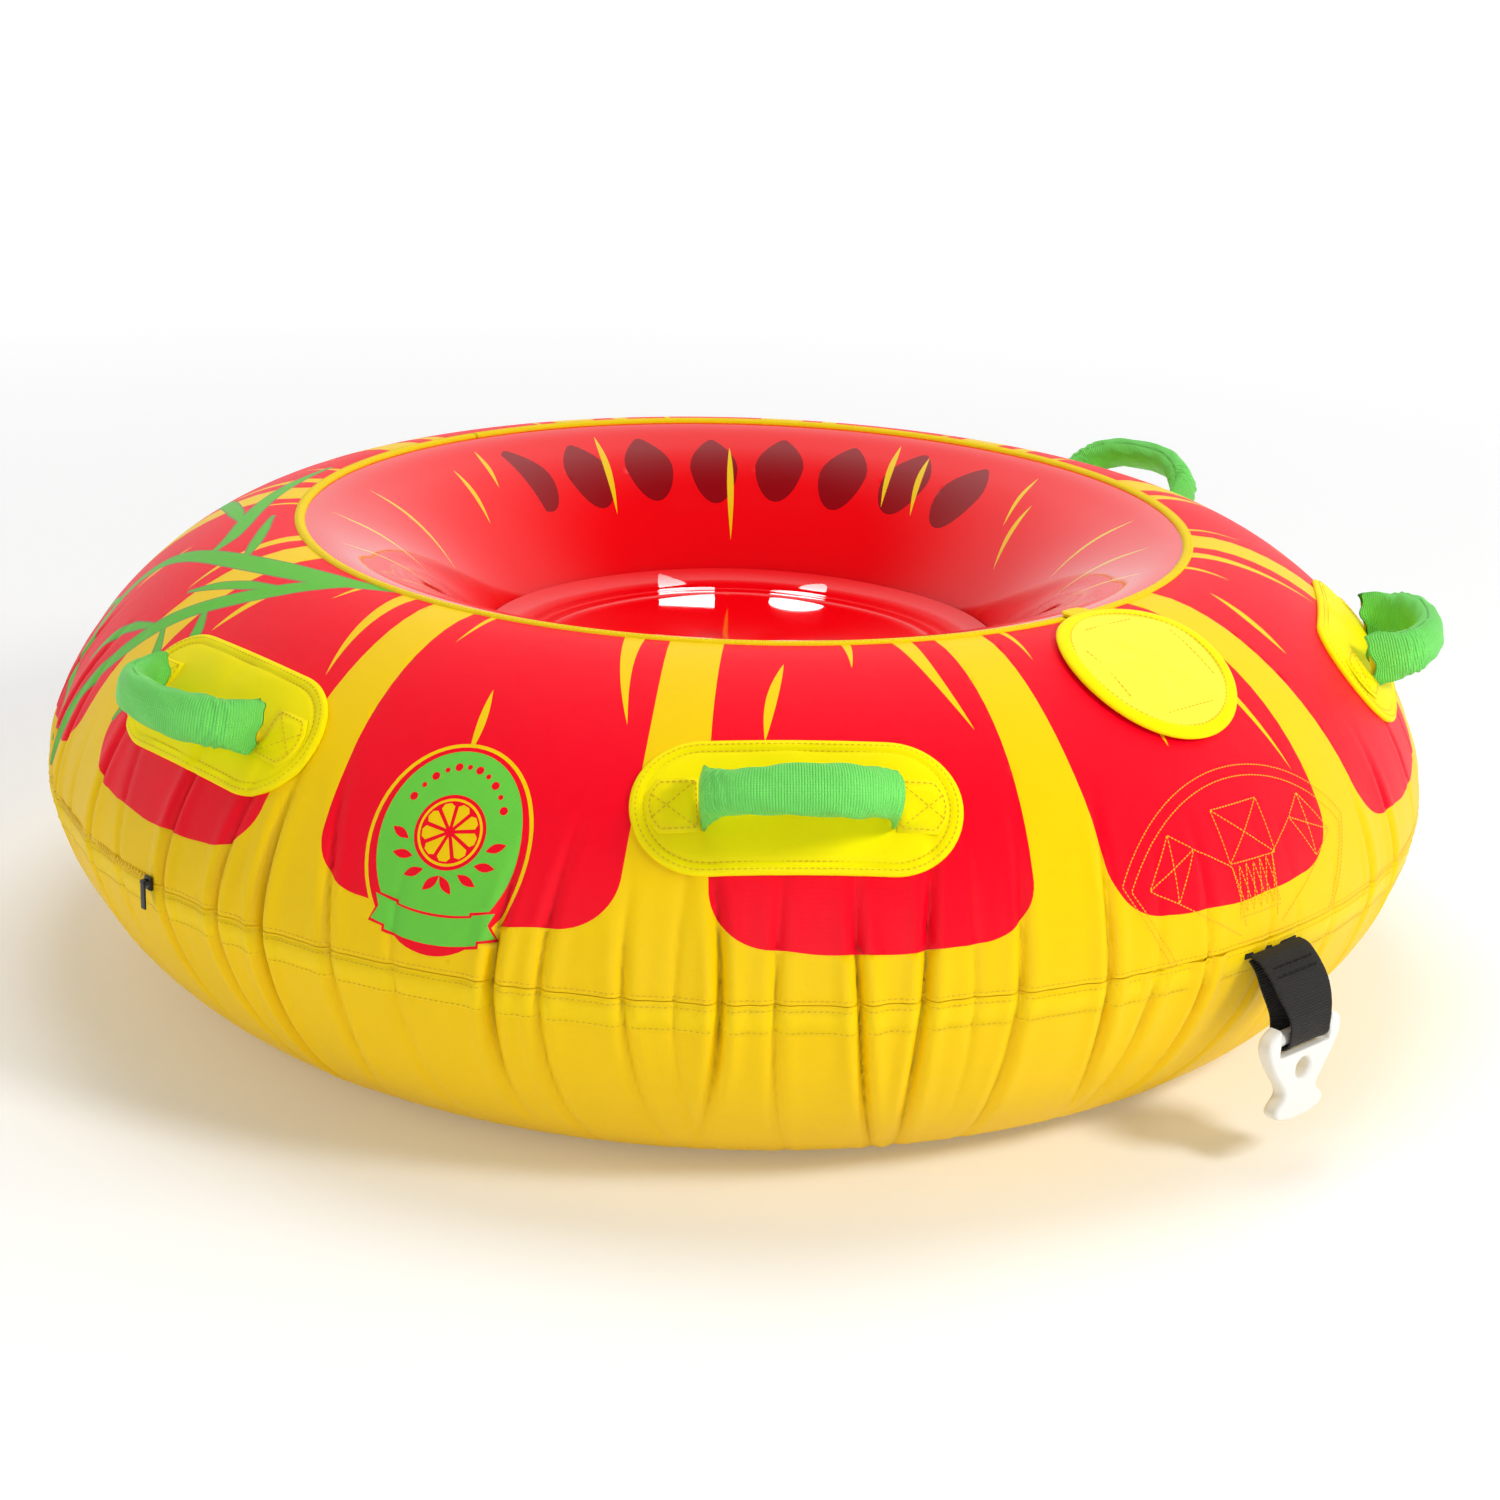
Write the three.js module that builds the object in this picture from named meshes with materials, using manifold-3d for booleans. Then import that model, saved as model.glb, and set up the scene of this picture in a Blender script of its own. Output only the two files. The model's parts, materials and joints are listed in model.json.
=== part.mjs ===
// One-rider towable tube: an inflatable ring with a flat floor, inside a zipped nylon cover.
// Millimetres, +Z up. The origin is on the ground under the middle of the ring, and +X is the tow direction.

import * as THREE from "three";
import { mergeVertices } from "three/addons/utils/BufferGeometryUtils.js";
import Module from "manifold-3d";

const wasm = await Module();
wasm.setup();

// ---------- driving dimensions ----------
const RING = {
  outerRadius: 610, // at the widest height, over the cover
  crestRadius: 401, // where the cover is highest
  holeRadius: 215, // at the narrowest height of the hole
  baseOuter: 464, // the tube stands on a flat band between these two radii
  baseInner: 320,
  height: 388,
  widestHeight: 181,
  narrowestHeight: 195,
  topFullness: 1.7, // 2 is an ellipse, and less is closer to a cone
  bottomFullness: 1.62,
};
const COVER = { thickness: 1, innerGap: 4, edge: 8 }; // edge: how far it reaches past the crest into the hole
const SHEET = 0.9; // PVC of the air chamber
const CLEAR = 0.4; // air between neighbouring pieces
const SLICES = 48; // facets round the ring
// Where each handle sits round the ring, and how far its loop stands over the horizon at rest.
const HANDLES = {
  right_front: { angle: -38.5, elevation: 22 },
  right_rear: { angle: -91.5, elevation: 12 },
  left_front: { angle: 38.5, elevation: 12 },
  left_rear: { angle: 92.5, elevation: 46 },
};
const HANDLE = {
  down: 168, // from the crest, along the cover, to the middle of the pad
  padLength: 250,
  padWidth: 104,
  span: 150, // between the two sewn roots
  rise: 60, // of the loop's middle over the line of its roots
  webbing: 26,
  steps: 16, // straight lengths in the loop
};
const TOW = { width: 63, widthAtHook: 52, webbing: 2.6, slotDrop: 9, barOut: 31, barDrop: 58 };
const HOOK = {
  thickness: 14,
  barRadius: 6,
  lobe: 14.5, // the lobes stand this far over the bar's middle
  lobeOut: 31,
  neck: 20.5,
  foot: 29.5,
  drop: 71, // from the bar's middle to the foot's end
  hole: 8.5,
  holeDrop: 29,
};
const VALVE = { down: 70, holeInCover: 30, neck: 13.2, bore: 10, flange: 26, cap: 18 };
const FLAP = { angle: -0.8, down: 76, radius: 76, binding: 11, patch: 96 };
const ZIP = { halfHeight: 3, startX: -21, sliderAngle: -91.3 };
const FLOOR = { height: 262, thickness: 1.2, weld: 16 };

const rad = THREE.MathUtils.degToRad;
const V2 = (x, y) => new THREE.Vector2(x, y);
const V3 = (x, y, z) => new THREE.Vector3(x, y, z);

// ---------- materials ----------
const finish = (color, roughness, more = {}) => new THREE.MeshStandardMaterial({ color, roughness, ...more });
const redNylon = finish(0xe3142d, 0.6);
const yellowNylon = finish(0xf2c811, 0.6);
const yellowPad = finish(0xffe000, 0.55);
const redVinyl = finish(0xd1001a, 0.12, { transparent: true, opacity: 0.75 });
const greenSleeve = finish(0x4ecb5c, 0.7);
const blackWebbing = finish(0x1e1c1b, 0.85);
const blackPlastic = finish(0x161616, 0.4);
const whitePlastic = finish(0xf1f0ec, 0.35);
const greyRubber = finish(0x3a3a3a, 0.8);
const foam = finish(0xd8d8d4, 0.9);

// ---------- solids ----------
function solid(geometry) {
  const bare = geometry.index ? geometry.toNonIndexed() : geometry.clone();
  bare.deleteAttribute("normal");
  bare.deleteAttribute("uv");
  const merged = mergeVertices(bare, 1e-4);
  return new wasm.Manifold(
    new wasm.Mesh({
      numProp: 3,
      vertProperties: new Float32Array(merged.attributes.position.array),
      triVerts: new Uint32Array(merged.index.array),
    }),
  );
}

function surfaceOf(manifold) {
  const mesh = manifold.getMesh();
  return new THREE.BufferGeometry()
    .setAttribute("position", new THREE.BufferAttribute(new Float32Array(mesh.vertProperties), 3))
    .setIndex(new THREE.BufferAttribute(new Uint32Array(mesh.triVerts), 1));
}

const box = (x, y, z, at = V3(0, 0, 0)) => new THREE.BoxGeometry(x, y, z).translate(at.x, at.y, at.z);
const bar = (radius, length, sides = 20) => new THREE.CylinderGeometry(radius, radius, length, sides);
const cut = (geometry, ...tools) => surfaceOf(tools.reduce((s, t) => s.subtract(solid(t)), solid(geometry)));
const join = (geometry, ...more) => surfaceOf(more.reduce((s, t) => s.add(solid(t)), solid(geometry)));

// A profile of (radius, height) points turned about the Z axis. It closes on itself unless it is on the axis.
function turned(profile, slices = SLICES) {
  const ends = profile[0].x === 0 ? profile : [...profile, profile[0]];
  const area = ends.reduce((sum, p, i) => sum + p.cross(ends[(i + 1) % ends.length]), 0);
  return new THREE.LatheGeometry(area > 0 ? ends : [...ends].reverse(), slices).rotateX(Math.PI / 2);
}

// ---------- the ring's section ----------
class QuarterOval extends THREE.Curve {
  constructor(centre, width, height, fullness, from, to, steps) {
    super();
    Object.assign(this, { centre, width, height, power: 2 / fullness, from, to, steps });
  }
  getPoint(t) {
    const a = rad(this.from + (this.to - this.from) * t);
    const reach = (c) => Math.sign(c) * Math.abs(c) ** this.power;
    const { x, y } = this.centre;
    return V2(x + this.width * reach(Math.cos(a)), y + this.height * reach(Math.sin(a)));
  }
}
const topOuter = new QuarterOval(
  V2(RING.crestRadius, RING.widestHeight),
  RING.outerRadius - RING.crestRadius,
  RING.height - RING.widestHeight,
  RING.topFullness,
  90,
  0,
  6,
);
const bottomOuter = new QuarterOval(
  V2(RING.baseOuter, RING.widestHeight),
  RING.outerRadius - RING.baseOuter,
  RING.widestHeight,
  RING.bottomFullness,
  0,
  -90,
  4,
);
const bottomInner = new QuarterOval(
  V2(RING.baseInner, RING.narrowestHeight),
  RING.baseInner - RING.holeRadius,
  RING.narrowestHeight,
  2,
  -90,
  -180,
  3,
);
const topInner = new QuarterOval(
  V2(RING.crestRadius, RING.narrowestHeight),
  RING.crestRadius - RING.holeRadius,
  RING.height - RING.narrowestHeight,
  2,
  180,
  90,
  4,
);

// The section is faceted: each quarter has even steps, and every sheet and patch follows the same facets.
function corner(curve, index) {
  const along = curve.getTangentAt(index / curve.steps);
  return { at: curve.getPointAt(index / curve.steps), out: V2(-along.y, along.x) };
}

// A point of the section and its outward direction, at a share of a quarter's length.
function station(curve, share) {
  const index = Math.min(Math.floor(share * curve.steps), curve.steps - 1);
  const [a, b] = [corner(curve, index), corner(curve, index + 1)];
  const t = share * curve.steps - index;
  return { at: a.at.lerp(b.at, t), out: a.out.lerp(b.out, t) };
}

// The stations from one share to another, with every corner between them.
function stations(curve, from = 0, to = 1) {
  const corners = Array.from({ length: curve.steps + 1 }, (_, i) => i / curve.steps);
  const between = corners.filter((c) => c > from + 1e-3 && c < to - 1e-3);
  return [from, ...between, to].map((share) => station(curve, share));
}
const moved = (s, offset) => s.at.clone().addScaledVector(s.out, offset);

// A sheet that follows the stations, between two distances from the cover's outer surface.
const sheetOf = (list, outer, inner) => [
  ...list.map((s) => moved(s, outer)),
  ...list.map((s) => moved(s, inner)).reverse(),
];

const topLength = topOuter.getLength();
const innerLength = topInner.getLength();
const bottomLength = bottomOuter.getLength();

// ---------- places on the cover ----------
// down is the distance from the crest along the cover, and negative into the hole.
function site(angle, down, offset = 0) {
  const s = down >= 0 ? station(topOuter, down / topLength) : station(topInner, 1 + down / innerLength);
  const p = moved(s, offset);
  const radial = V3(Math.cos(rad(angle)), Math.sin(rad(angle)), 0);
  const across = V3(-Math.sin(rad(angle)), Math.cos(rad(angle)), 0);
  const out = radial.clone().multiplyScalar(s.out.x).setZ(s.out.y).normalize();
  const at = radial.clone().multiplyScalar(p.x).setZ(p.y);
  const matrix = new THREE.Matrix4().makeBasis(across, out.clone().cross(across), out).setPosition(at);
  return { at, across, radial, matrix };
}

// A flat outline sewn on to the cover: a sheet between two distances, cut by a prism along the site's normal.
const patchZone = [...stations(topInner, 1 - 60 / innerLength), ...stations(topOuter).slice(1)];
const PRISM = 120;
function patch(outline, where, outer, inner) {
  const prism = new THREE.ExtrudeGeometry(outline, { depth: PRISM, bevelEnabled: false, curveSegments: 8 });
  prism.translate(0, 0, -PRISM / 2).applyMatrix4(where.matrix);
  return surfaceOf(solid(turned(sheetOf(patchZone, outer, inner))).intersect(solid(prism)));
}

// ---------- outlines ----------
function stadium(length, width) {
  const half = (length - width) / 2;
  const shape = new THREE.Shape();
  shape.absarc(half, 0, width / 2, -Math.PI / 2, Math.PI / 2, false);
  shape.absarc(-half, 0, width / 2, Math.PI / 2, (3 * Math.PI) / 2, false);
  return shape;
}
function rectangle(width, height, x = 0, y = 0) {
  const [w, h] = [width / 2, height / 2];
  return new THREE.Shape([V2(x - w, y - h), V2(x + w, y - h), V2(x + w, y + h), V2(x - w, y + h)]);
}
const circle = (radius) => new THREE.Shape().absarc(0, 0, radius, 0, 2 * Math.PI, false);
function withHole(shape, radius) {
  shape.holes.push(new THREE.Path().absarc(0, 0, radius, 0, 2 * Math.PI, false));
  return shape;
}
function oval(a, b, sides = 8) {
  const angles = Array.from({ length: sides }, (_, i) => (2 * Math.PI * i) / sides);
  return angles.map((angle) => V2(a * Math.cos(angle), b * Math.sin(angle)));
}

// A band of even thickness along a flat curve.
function ribbon(curve, thickness, count) {
  const side = (offset) =>
    Array.from({ length: count + 1 }, (_, i) => {
      const along = curve.getTangentAt(i / count);
      return curve.getPointAt(i / count).addScaledVector(V2(-along.y, along.x), offset);
    });
  return new THREE.Shape([...side(thickness / 2), ...side(-thickness / 2).reverse()]);
}

// ---------- the assembly ----------
const tube = new THREE.Group();
function piece(name, geometry, material, parent = tube) {
  const mesh = new THREE.Mesh(geometry, material);
  mesh.name = name;
  parent.add(mesh);
  return mesh;
}
function placed(where) {
  const group = new THREE.Group();
  group.applyMatrix4(where.matrix);
  tube.add(group);
  return group;
}

const valveSite = site(0, VALVE.down);
const slotHeight = RING.widestHeight - TOW.slotDrop;
const slot = box(60, TOW.width + 5, 5.4, V3(RING.outerRadius, 0, slotHeight));

function valveHole(radius) {
  return bar(radius, 80, 28).rotateX(Math.PI / 2).applyMatrix4(valveSite.matrix);
}

// Three PVC sheets, welded to each other at the crest, round the outside and round the hole.
// The filling valve goes through the outer one.
function addAirChamber() {
  const skin = -(COVER.thickness + COVER.innerGap);
  const sheet = (list) => turned(sheetOf(list, skin, skin - SHEET));
  piece("bladder_inner_wall", sheet(stations(topInner, 0, 1 - CLEAR / innerLength)), redVinyl);
  const outer = sheet(stations(topOuter, CLEAR / topLength));
  piece("bladder_outer_wall", cut(outer, valveHole(VALVE.neck + 1)), redVinyl);
  const outerHalf = stations(bottomOuter, CLEAR / bottomLength);
  const innerHalf = stations(bottomInner, 0, 1 - CLEAR / bottomInner.getLength());
  piece("bladder_base", sheet([...outerHalf, ...innerHalf.slice(1)]), redVinyl);
}

// A flat sheet across the hole, whose rim turns up and is welded to the wall.
function addFloor() {
  const gap = COVER.thickness + COVER.innerGap - CLEAR;
  const low = (FLOOR.height - RING.narrowestHeight) / innerLength;
  const weld = [low, low + FLOOR.weld / innerLength];
  const rim = weld.map((share) => moved(station(topInner, share), 1.6 - gap));
  const foot = rim[0].clone();
  const profile = [
    V2(0, foot.y),
    V2(foot.x - 1.4, foot.y),
    rim[1].clone().add(V2(-1.4, 0)),
    rim[1],
    V2(foot.x, foot.y - FLOOR.thickness),
    V2(0, foot.y - FLOOR.thickness),
  ];
  piece("floor_panel", turned(profile), redVinyl);
}

// The nylon cover in two panels, which meet at the widest height, and the tapes that join and edge them.
function addCover() {
  const thick = COVER.thickness;
  const edge = CLEAR / bottomLength;
  const top = [
    ...stations(topInner, 1 - COVER.edge / innerLength),
    ...stations(topOuter, 0, 1 - CLEAR / topLength).slice(1),
  ];
  piece("cover_top", cut(turned(sheetOf(top, 0, -thick)), valveHole(VALVE.holeInCover), slot), redNylon);

  const side = stations(bottomOuter, edge);
  const inside = side.map((s) => moved(s, -thick));
  const base = [V2(0, 0), ...side.map((s) => s.at).reverse(), ...inside, V2(0, thick)];
  piece("cover_bottom", cut(turned(base), slot), yellowNylon);

  const tape = [
    ...stations(topOuter, 1 - 14 / topLength),
    ...stations(bottomOuter, 0, 14 / bottomLength).slice(1),
  ];
  const insideTape = sheetOf(tape, -thick - CLEAR, -thick - CLEAR - 0.8);
  piece("seam_tape_inside", cut(turned(insideTape), slot), yellowNylon);
  const band = stations(bottomOuter, 4 / bottomLength, 26 / bottomLength);
  piece("seam_tape_outside", cut(turned(sheetOf(band, CLEAR + 1, CLEAR)), slot), yellowNylon);

  const lip = [15, 2].map((down) => station(topInner, 1 - down / innerLength));
  const [hole, crest] = lip;
  const fold = station(topInner, 1 - (COVER.edge + 1) / innerLength);
  const binding = [
    moved(crest, CLEAR + 1.2),
    moved(hole, CLEAR + 0.8),
    moved(hole, -thick - 0.4),
    moved(crest, -thick - CLEAR - 1),
    moved(crest, -thick - CLEAR),
    moved(fold, -thick - CLEAR),
    moved(fold, CLEAR),
    moved(crest, CLEAR),
  ];
  piece("rim_binding", turned(binding.reverse()), yellowNylon);
}

// The zip closes the rear half of the seam.
function addZip() {
  const middle = RING.widestHeight + 1;
  const inner = RING.outerRadius + CLEAR;
  const section = [
    V2(inner, middle - ZIP.halfHeight),
    V2(inner + 1.6, middle - ZIP.halfHeight + 1),
    V2(inner + 1.6, middle + ZIP.halfHeight - 1),
    V2(inner, middle + ZIP.halfHeight),
  ];
  const rear = box(700, 1400, 40, V3(ZIP.startX - 350, 0, middle));
  piece("zipper_coil", surfaceOf(solid(turned(section)).intersect(solid(rear))), yellowNylon);

  const where = V3(Math.cos(rad(ZIP.sliderAngle)), Math.sin(rad(ZIP.sliderAngle)), 0);
  const group = new THREE.Group();
  group.position.copy(where.clone().multiplyScalar(RING.outerRadius + 2.6).setZ(middle));
  group.rotation.z = rad(ZIP.sliderAngle);
  tube.add(group);
  const posts = [-3.6, 3.6].map((y) => box(4.6, 1.2, 3, V3(4.4, y, 1)));
  const pin = bar(0.8, 7.6, 12).translate(5.6, 0, 1);
  piece("zipper_slider", join(box(2.6, 9, 11, V3(1.4, 0, 0)), ...posts, pin), blackPlastic, group);
  const barrel = bar(2.3, 5.4, 16).translate(5.6, 0, 1);
  const tab = box(1.6, 5.6, 20, V3(6.6, 0, -10.6));
  piece("zipper_pull", cut(join(barrel, tab), bar(1.2, 9, 16).translate(5.6, 0, 1)), blackPlastic, group);
}

// A handle: a pad, and a webbing loop sewn down at both ends, which carries a foam core in a fabric sleeve.
class LoopLine extends THREE.Curve {
  getPoint(t) {
    const a = Math.PI * (1 - t);
    const reach = (c) => Math.sign(c) * Math.abs(c) ** 0.8;
    return V3((HANDLE.span / 2) * reach(Math.cos(a)), 0, HANDLE.rise * reach(Math.sin(a)));
  }
}
// The loop less some steps at each end, so that the webbing, the core and the sleeve bend at the same places.
class LoopPart extends THREE.Curve {
  constructor(cutBack) {
    super();
    const from = cutBack / HANDLE.steps;
    Object.assign(this, { whole: new LoopLine(), from, share: 1 - 2 * from });
  }
  getPoint(t) {
    return this.whole.getPointAt(this.from + this.share * t);
  }
}
function addHandle(name, { angle, elevation }) {
  const middle = site(angle, HANDLE.down);
  const pad = stadium(HANDLE.padLength, HANDLE.padWidth);
  piece(`handle_pad_${name}`, patch(pad, middle, 2.9, CLEAR), yellowPad);
  const anchorMiddle = HANDLE.span / 2 + 23;
  for (const [end, side] of [["a", -1], ["b", 1]]) {
    const outline = rectangle(40, 42, side * anchorMiddle);
    piece(`handle_anchor_${name}_${end}`, patch(outline, middle, 4.9, 3.3), yellowPad);
  }
  const lean = THREE.MathUtils.radToDeg(Math.asin(HANDLE.span / 2 / middle.at.clone().setZ(0).length()));
  const root = site(angle + lean, HANDLE.down, 6.4);
  const centre = middle.radial.clone().multiplyScalar(root.at.dot(middle.radial)).setZ(root.at.z);
  const lift = rad(elevation);
  const up = middle.radial.clone().multiplyScalar(Math.cos(lift)).setZ(Math.sin(lift));
  const matrix = new THREE.Matrix4().makeBasis(middle.across, up.clone().cross(middle.across), up);
  const loop = placed({ matrix: matrix.setPosition(centre) });
  const along = (section, cutBack) => {
    const steps = HANDLE.steps - 2 * cutBack;
    return new THREE.ExtrudeGeometry(section, { steps, extrudePath: new LoopPart(cutBack) });
  };
  const webbing = rectangle(2, HANDLE.webbing);
  piece(`handle_webbing_${name}`, along(webbing, 1), yellowPad, loop);
  const core = new THREE.Shape(oval(10.6, 16));
  core.holes.push(new THREE.Path(rectangle(3.2, HANDLE.webbing + 1).getPoints()));
  piece(`handle_core_${name}`, along(core, 3), foam, loop);
  const sleeve = new THREE.Shape(oval(13, 18.6));
  sleeve.holes.push(new THREE.Path(oval(11.4, 17)));
  piece(`handle_sleeve_${name}`, along(sleeve, 2), greenSleeve, loop);
}

// The filling valve and the round flap that covers it.
function addValve() {
  const group = placed(valveSite);
  const upright = (profile) => turned(profile, 28);
  const { neck, bore, cap } = VALVE;
  piece("valve_flange", patch(withHole(circle(VALVE.flange), neck + 1), valveSite, -3.8, -4.6), redVinyl);
  const tubeAndRim = [V2(bore, -24), V2(neck, -24), V2(neck, -3), V2(20, -3), V2(20, -1.8), V2(bore, -1.8)];
  piece("valve_body", upright(tubeAndRim), whitePlastic, group);
  piece("valve_gasket", upright([V2(14, -1.5), V2(17, -1.5), V2(17, -0.7), V2(14, -0.7)]), greyRubber, group);
  const plug = bore - CLEAR;
  const stem = [V2(0, -12), V2(plug, -12), V2(plug, -0.4)];
  const capShape = [...stem, V2(cap, -0.4), V2(cap, 1.2), V2(cap - 2, 1.8), V2(0, 1.8)];
  const pockets = [-8.5, 8.5].map((y) => box(18, 8, 3, V3(0, y, 2.1)));
  piece("valve_cap", cut(upright(capShape), ...pockets), whitePlastic, group);

  const square = () => withHole(rectangle(FLAP.patch, FLAP.patch), VALVE.holeInCover + 1);
  piece("flap_loop_patch", patch(square(), valveSite, CLEAR + 1, CLEAR), yellowPad);
  piece("flap_hook_patch", patch(square(), valveSite, 2.8, 1.8), yellowPad);
  const flapSite = site(FLAP.angle, FLAP.down);
  piece("valve_flap", patch(circle(FLAP.radius - 1), flapSite, 4.6, 3.2), yellowPad);
  const rim = withHole(circle(FLAP.radius), FLAP.radius - FLAP.binding);
  piece("flap_binding", patch(rim, flapSite, 6, 5), yellowPad);
  piece("flap_pull_tab", patch(rectangle(26, 15, 0, FLAP.radius + 8), flapSite, 4.6, 3.2), yellowPad);
}

// Inside the cover: a reinforcing patch, and three straps that spread the tow load over the upper panel.
function addHarness() {
  const middle = site(0, topLength - 90);
  const fan = new THREE.Shape();
  fan.absarc(0, -66, 145, rad(22), rad(158), false);
  piece("tow_reinforcement", patch(fan, middle, -1.4, -2.2), yellowNylon);
  const reach = 118;
  for (const [side, lean] of [["right", -38], ["centre", 0], ["left", 38]]) {
    const outline = new THREE.Shape(
      rectangle(38, reach, 0, reach / 2 + 8).getPoints().map((p) => p.rotateAround(V2(0, 0), rad(lean))),
    );
    const foot = site(0, topLength - 40);
    foot.matrix.multiply(new THREE.Matrix4().makeTranslation(-lean * 0.85, 0, 0));
    piece(`tow_strap_${side}`, patch(outline, foot, -2.5, -4.3), blackWebbing);
  }
}

// The black webbing loop comes out through a slot in the seam and holds the hook by its bar.
function addTow() {
  const root = new THREE.Group();
  root.position.set(RING.outerRadius + 3, 0, slotHeight);
  tube.add(root);
  piece("tow_webbing_root", box(3.4, TOW.width, 4.6, V3(-5.1, 0, 0)), blackWebbing, root);

  const bend = HOOK.barRadius + CLEAR + TOW.webbing / 2;
  const { barOut, barDrop } = TOW;
  const round = [0, -45, -90, -135, -180].map(
    (a) => V2(barOut + bend * Math.cos(rad(a)), -barDrop + bend * Math.sin(rad(a))),
  );
  const front = [V2(0, 1.6), V2(11, -1), V2(27, -17), V2(barOut + bend - 1, -38)];
  const back = [V2(barOut - bend - 3, -38), V2(9, -12), V2(0, -1.8)];
  const line = new THREE.SplineCurve([...front, ...round, ...back]);
  const flat = ribbon(line, TOW.webbing, 36);
  const strap = new THREE.ExtrudeGeometry(flat, { depth: TOW.width, bevelEnabled: false });
  strap.rotateX(Math.PI / 2).translate(0, TOW.width / 2, 0);
  const [top, foot] = [TOW.width / 2, TOW.widthAtHook / 2];
  const edge = [V2(top, 10), V2(top, -20), V2(foot, -50), V2(foot, -90)];
  const gathered = new THREE.Shape([...edge.map((p) => V2(-p.x, p.y)), ...edge.reverse()]);
  const taper = new THREE.ExtrudeGeometry(gathered, { depth: 80, bevelEnabled: false });
  taper.rotateX(Math.PI / 2).rotateZ(Math.PI / 2).translate(-20, 0, 0);
  piece("tow_webbing_loop", surfaceOf(solid(strap).intersect(solid(taper))), blackWebbing, root);

  const hook = new THREE.Group();
  hook.position.set(barOut, 0, -barDrop);
  root.add(hook);
  piece("tow_hook", hookShape(), whitePlastic, hook);
}

// A flat bone-shaped plate. Its upper end is a round bar between two lobes. A rope's loop goes round its neck.
function hookShape() {
  const { thickness, barRadius, lobe, lobeOut, neck, foot, drop, hole, holeDrop } = HOOK;
  const half = [
    V2(lobeOut, lobe - 4),
    V2(lobeOut + lobe - 3, 4),
    V2(lobeOut + lobe - 1, -7),
    V2(lobeOut + 5, -24),
    V2(neck + 2, -42),
    V2(neck, -50),
    V2(foot, -drop + 12),
    V2(foot - 3, -drop + 4),
    V2(12, -drop),
  ];
  const right = new THREE.SplineCurve(half).getPoints(24);
  const left = right.map((p) => V2(-p.x, p.y)).reverse();
  const outline = new THREE.Shape([...right, ...left]);
  outline.holes.push(new THREE.Path().absarc(0, -holeDrop, hole, 0, 2 * Math.PI, false));
  const edge = 2;
  const plate = new THREE.ExtrudeGeometry(outline, {
    depth: thickness - 2 * edge,
    bevelSize: edge,
    bevelThickness: edge,
    bevelOffset: -edge,
    bevelSegments: 1,
    curveSegments: 12,
  });
  plate.translate(0, 0, edge - thickness / 2);
  const window = box(2 * lobeOut, 40, 30, V3(0, 20 - 13, 0));
  const rail = bar(barRadius, 2 * lobeOut + 8, 20).rotateZ(Math.PI / 2);
  return join(cut(plate, window), rail).rotateX(Math.PI / 2).rotateZ(Math.PI / 2);
}

addAirChamber();
addFloor();
addCover();
addZip();
for (const [name, place] of Object.entries(HANDLES)) addHandle(name, place);
addValve();
addHarness();
addTow();

export default tube;
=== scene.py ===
"""The looks of the towable tube: printed nylon, glossy vinyl, padded handles, valve flap, tow strap and hook.

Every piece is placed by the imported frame. The cover is one formula, cover_point(), and all that is sewn or
printed on it follows the same formula, so print, pads, stitches and wrinkles agree.
"""

import json
import math

import bmesh
import bpy
import numpy as np
from mathutils import Matrix, Vector
from mathutils.geometry import delaunay_2d_cdt


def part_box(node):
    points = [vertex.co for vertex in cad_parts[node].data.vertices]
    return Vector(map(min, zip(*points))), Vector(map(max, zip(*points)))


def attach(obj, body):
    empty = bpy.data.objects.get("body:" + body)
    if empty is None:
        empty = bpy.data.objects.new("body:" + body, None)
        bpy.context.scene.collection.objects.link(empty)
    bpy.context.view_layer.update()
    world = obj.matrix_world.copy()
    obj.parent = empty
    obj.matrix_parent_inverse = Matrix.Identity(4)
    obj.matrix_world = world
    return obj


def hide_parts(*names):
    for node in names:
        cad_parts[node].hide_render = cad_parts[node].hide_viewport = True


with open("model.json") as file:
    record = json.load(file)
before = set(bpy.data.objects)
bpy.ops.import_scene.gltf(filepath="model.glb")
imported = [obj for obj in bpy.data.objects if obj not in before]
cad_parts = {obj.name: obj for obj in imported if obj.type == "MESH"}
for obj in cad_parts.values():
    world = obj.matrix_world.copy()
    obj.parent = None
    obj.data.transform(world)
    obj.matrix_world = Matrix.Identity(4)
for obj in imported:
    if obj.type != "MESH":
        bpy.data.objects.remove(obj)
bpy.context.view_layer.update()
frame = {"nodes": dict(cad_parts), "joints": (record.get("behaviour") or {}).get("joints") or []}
joints = {joint["name"]: joint for joint in frame["joints"]}
random = np.random.default_rng(7)

# ---------- sizes, in metres and degrees ----------
MM = 0.001
COVER_LOW, COVER_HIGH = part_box("cover_top")
RING_RADIUS = COVER_HIGH.x
WIDEST_Z = COVER_LOW.z
CREST_Z = COVER_HIGH.z
HOLE_RADIUS = RING_RADIUS - 0.395
CREST_RADIUS = RING_RADIUS - 0.209
BASE_OUTER = RING_RADIUS - 0.146
NARROWEST_Z = WIDEST_Z + 0.014
TOP_FULLNESS = 1.7
BOTTOM_FULLNESS = 1.62

STRIPE_PITCH = 30
STRIPE_HALF = 3.1
FIRST_SEGMENT = -3.1
SEGMENT_BOTTOM = 0.271
HANDLE_DOWN = 0.168
PAD_LENGTH, PAD_WIDTH = 0.241, 0.106
LOOP_SPAN, LOOP_RISE = 0.139, 0.061
FLAP_ANGLE, FLAP_DOWN, FLAP_RADIUS = -0.8, 0.076, 0.076
BADGE_AT, BADGE_DOWN = -64.6, 0.223
TOW_WIDTH, TOW_WIDTH_AT_HOOK = 0.063, 0.050

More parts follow.
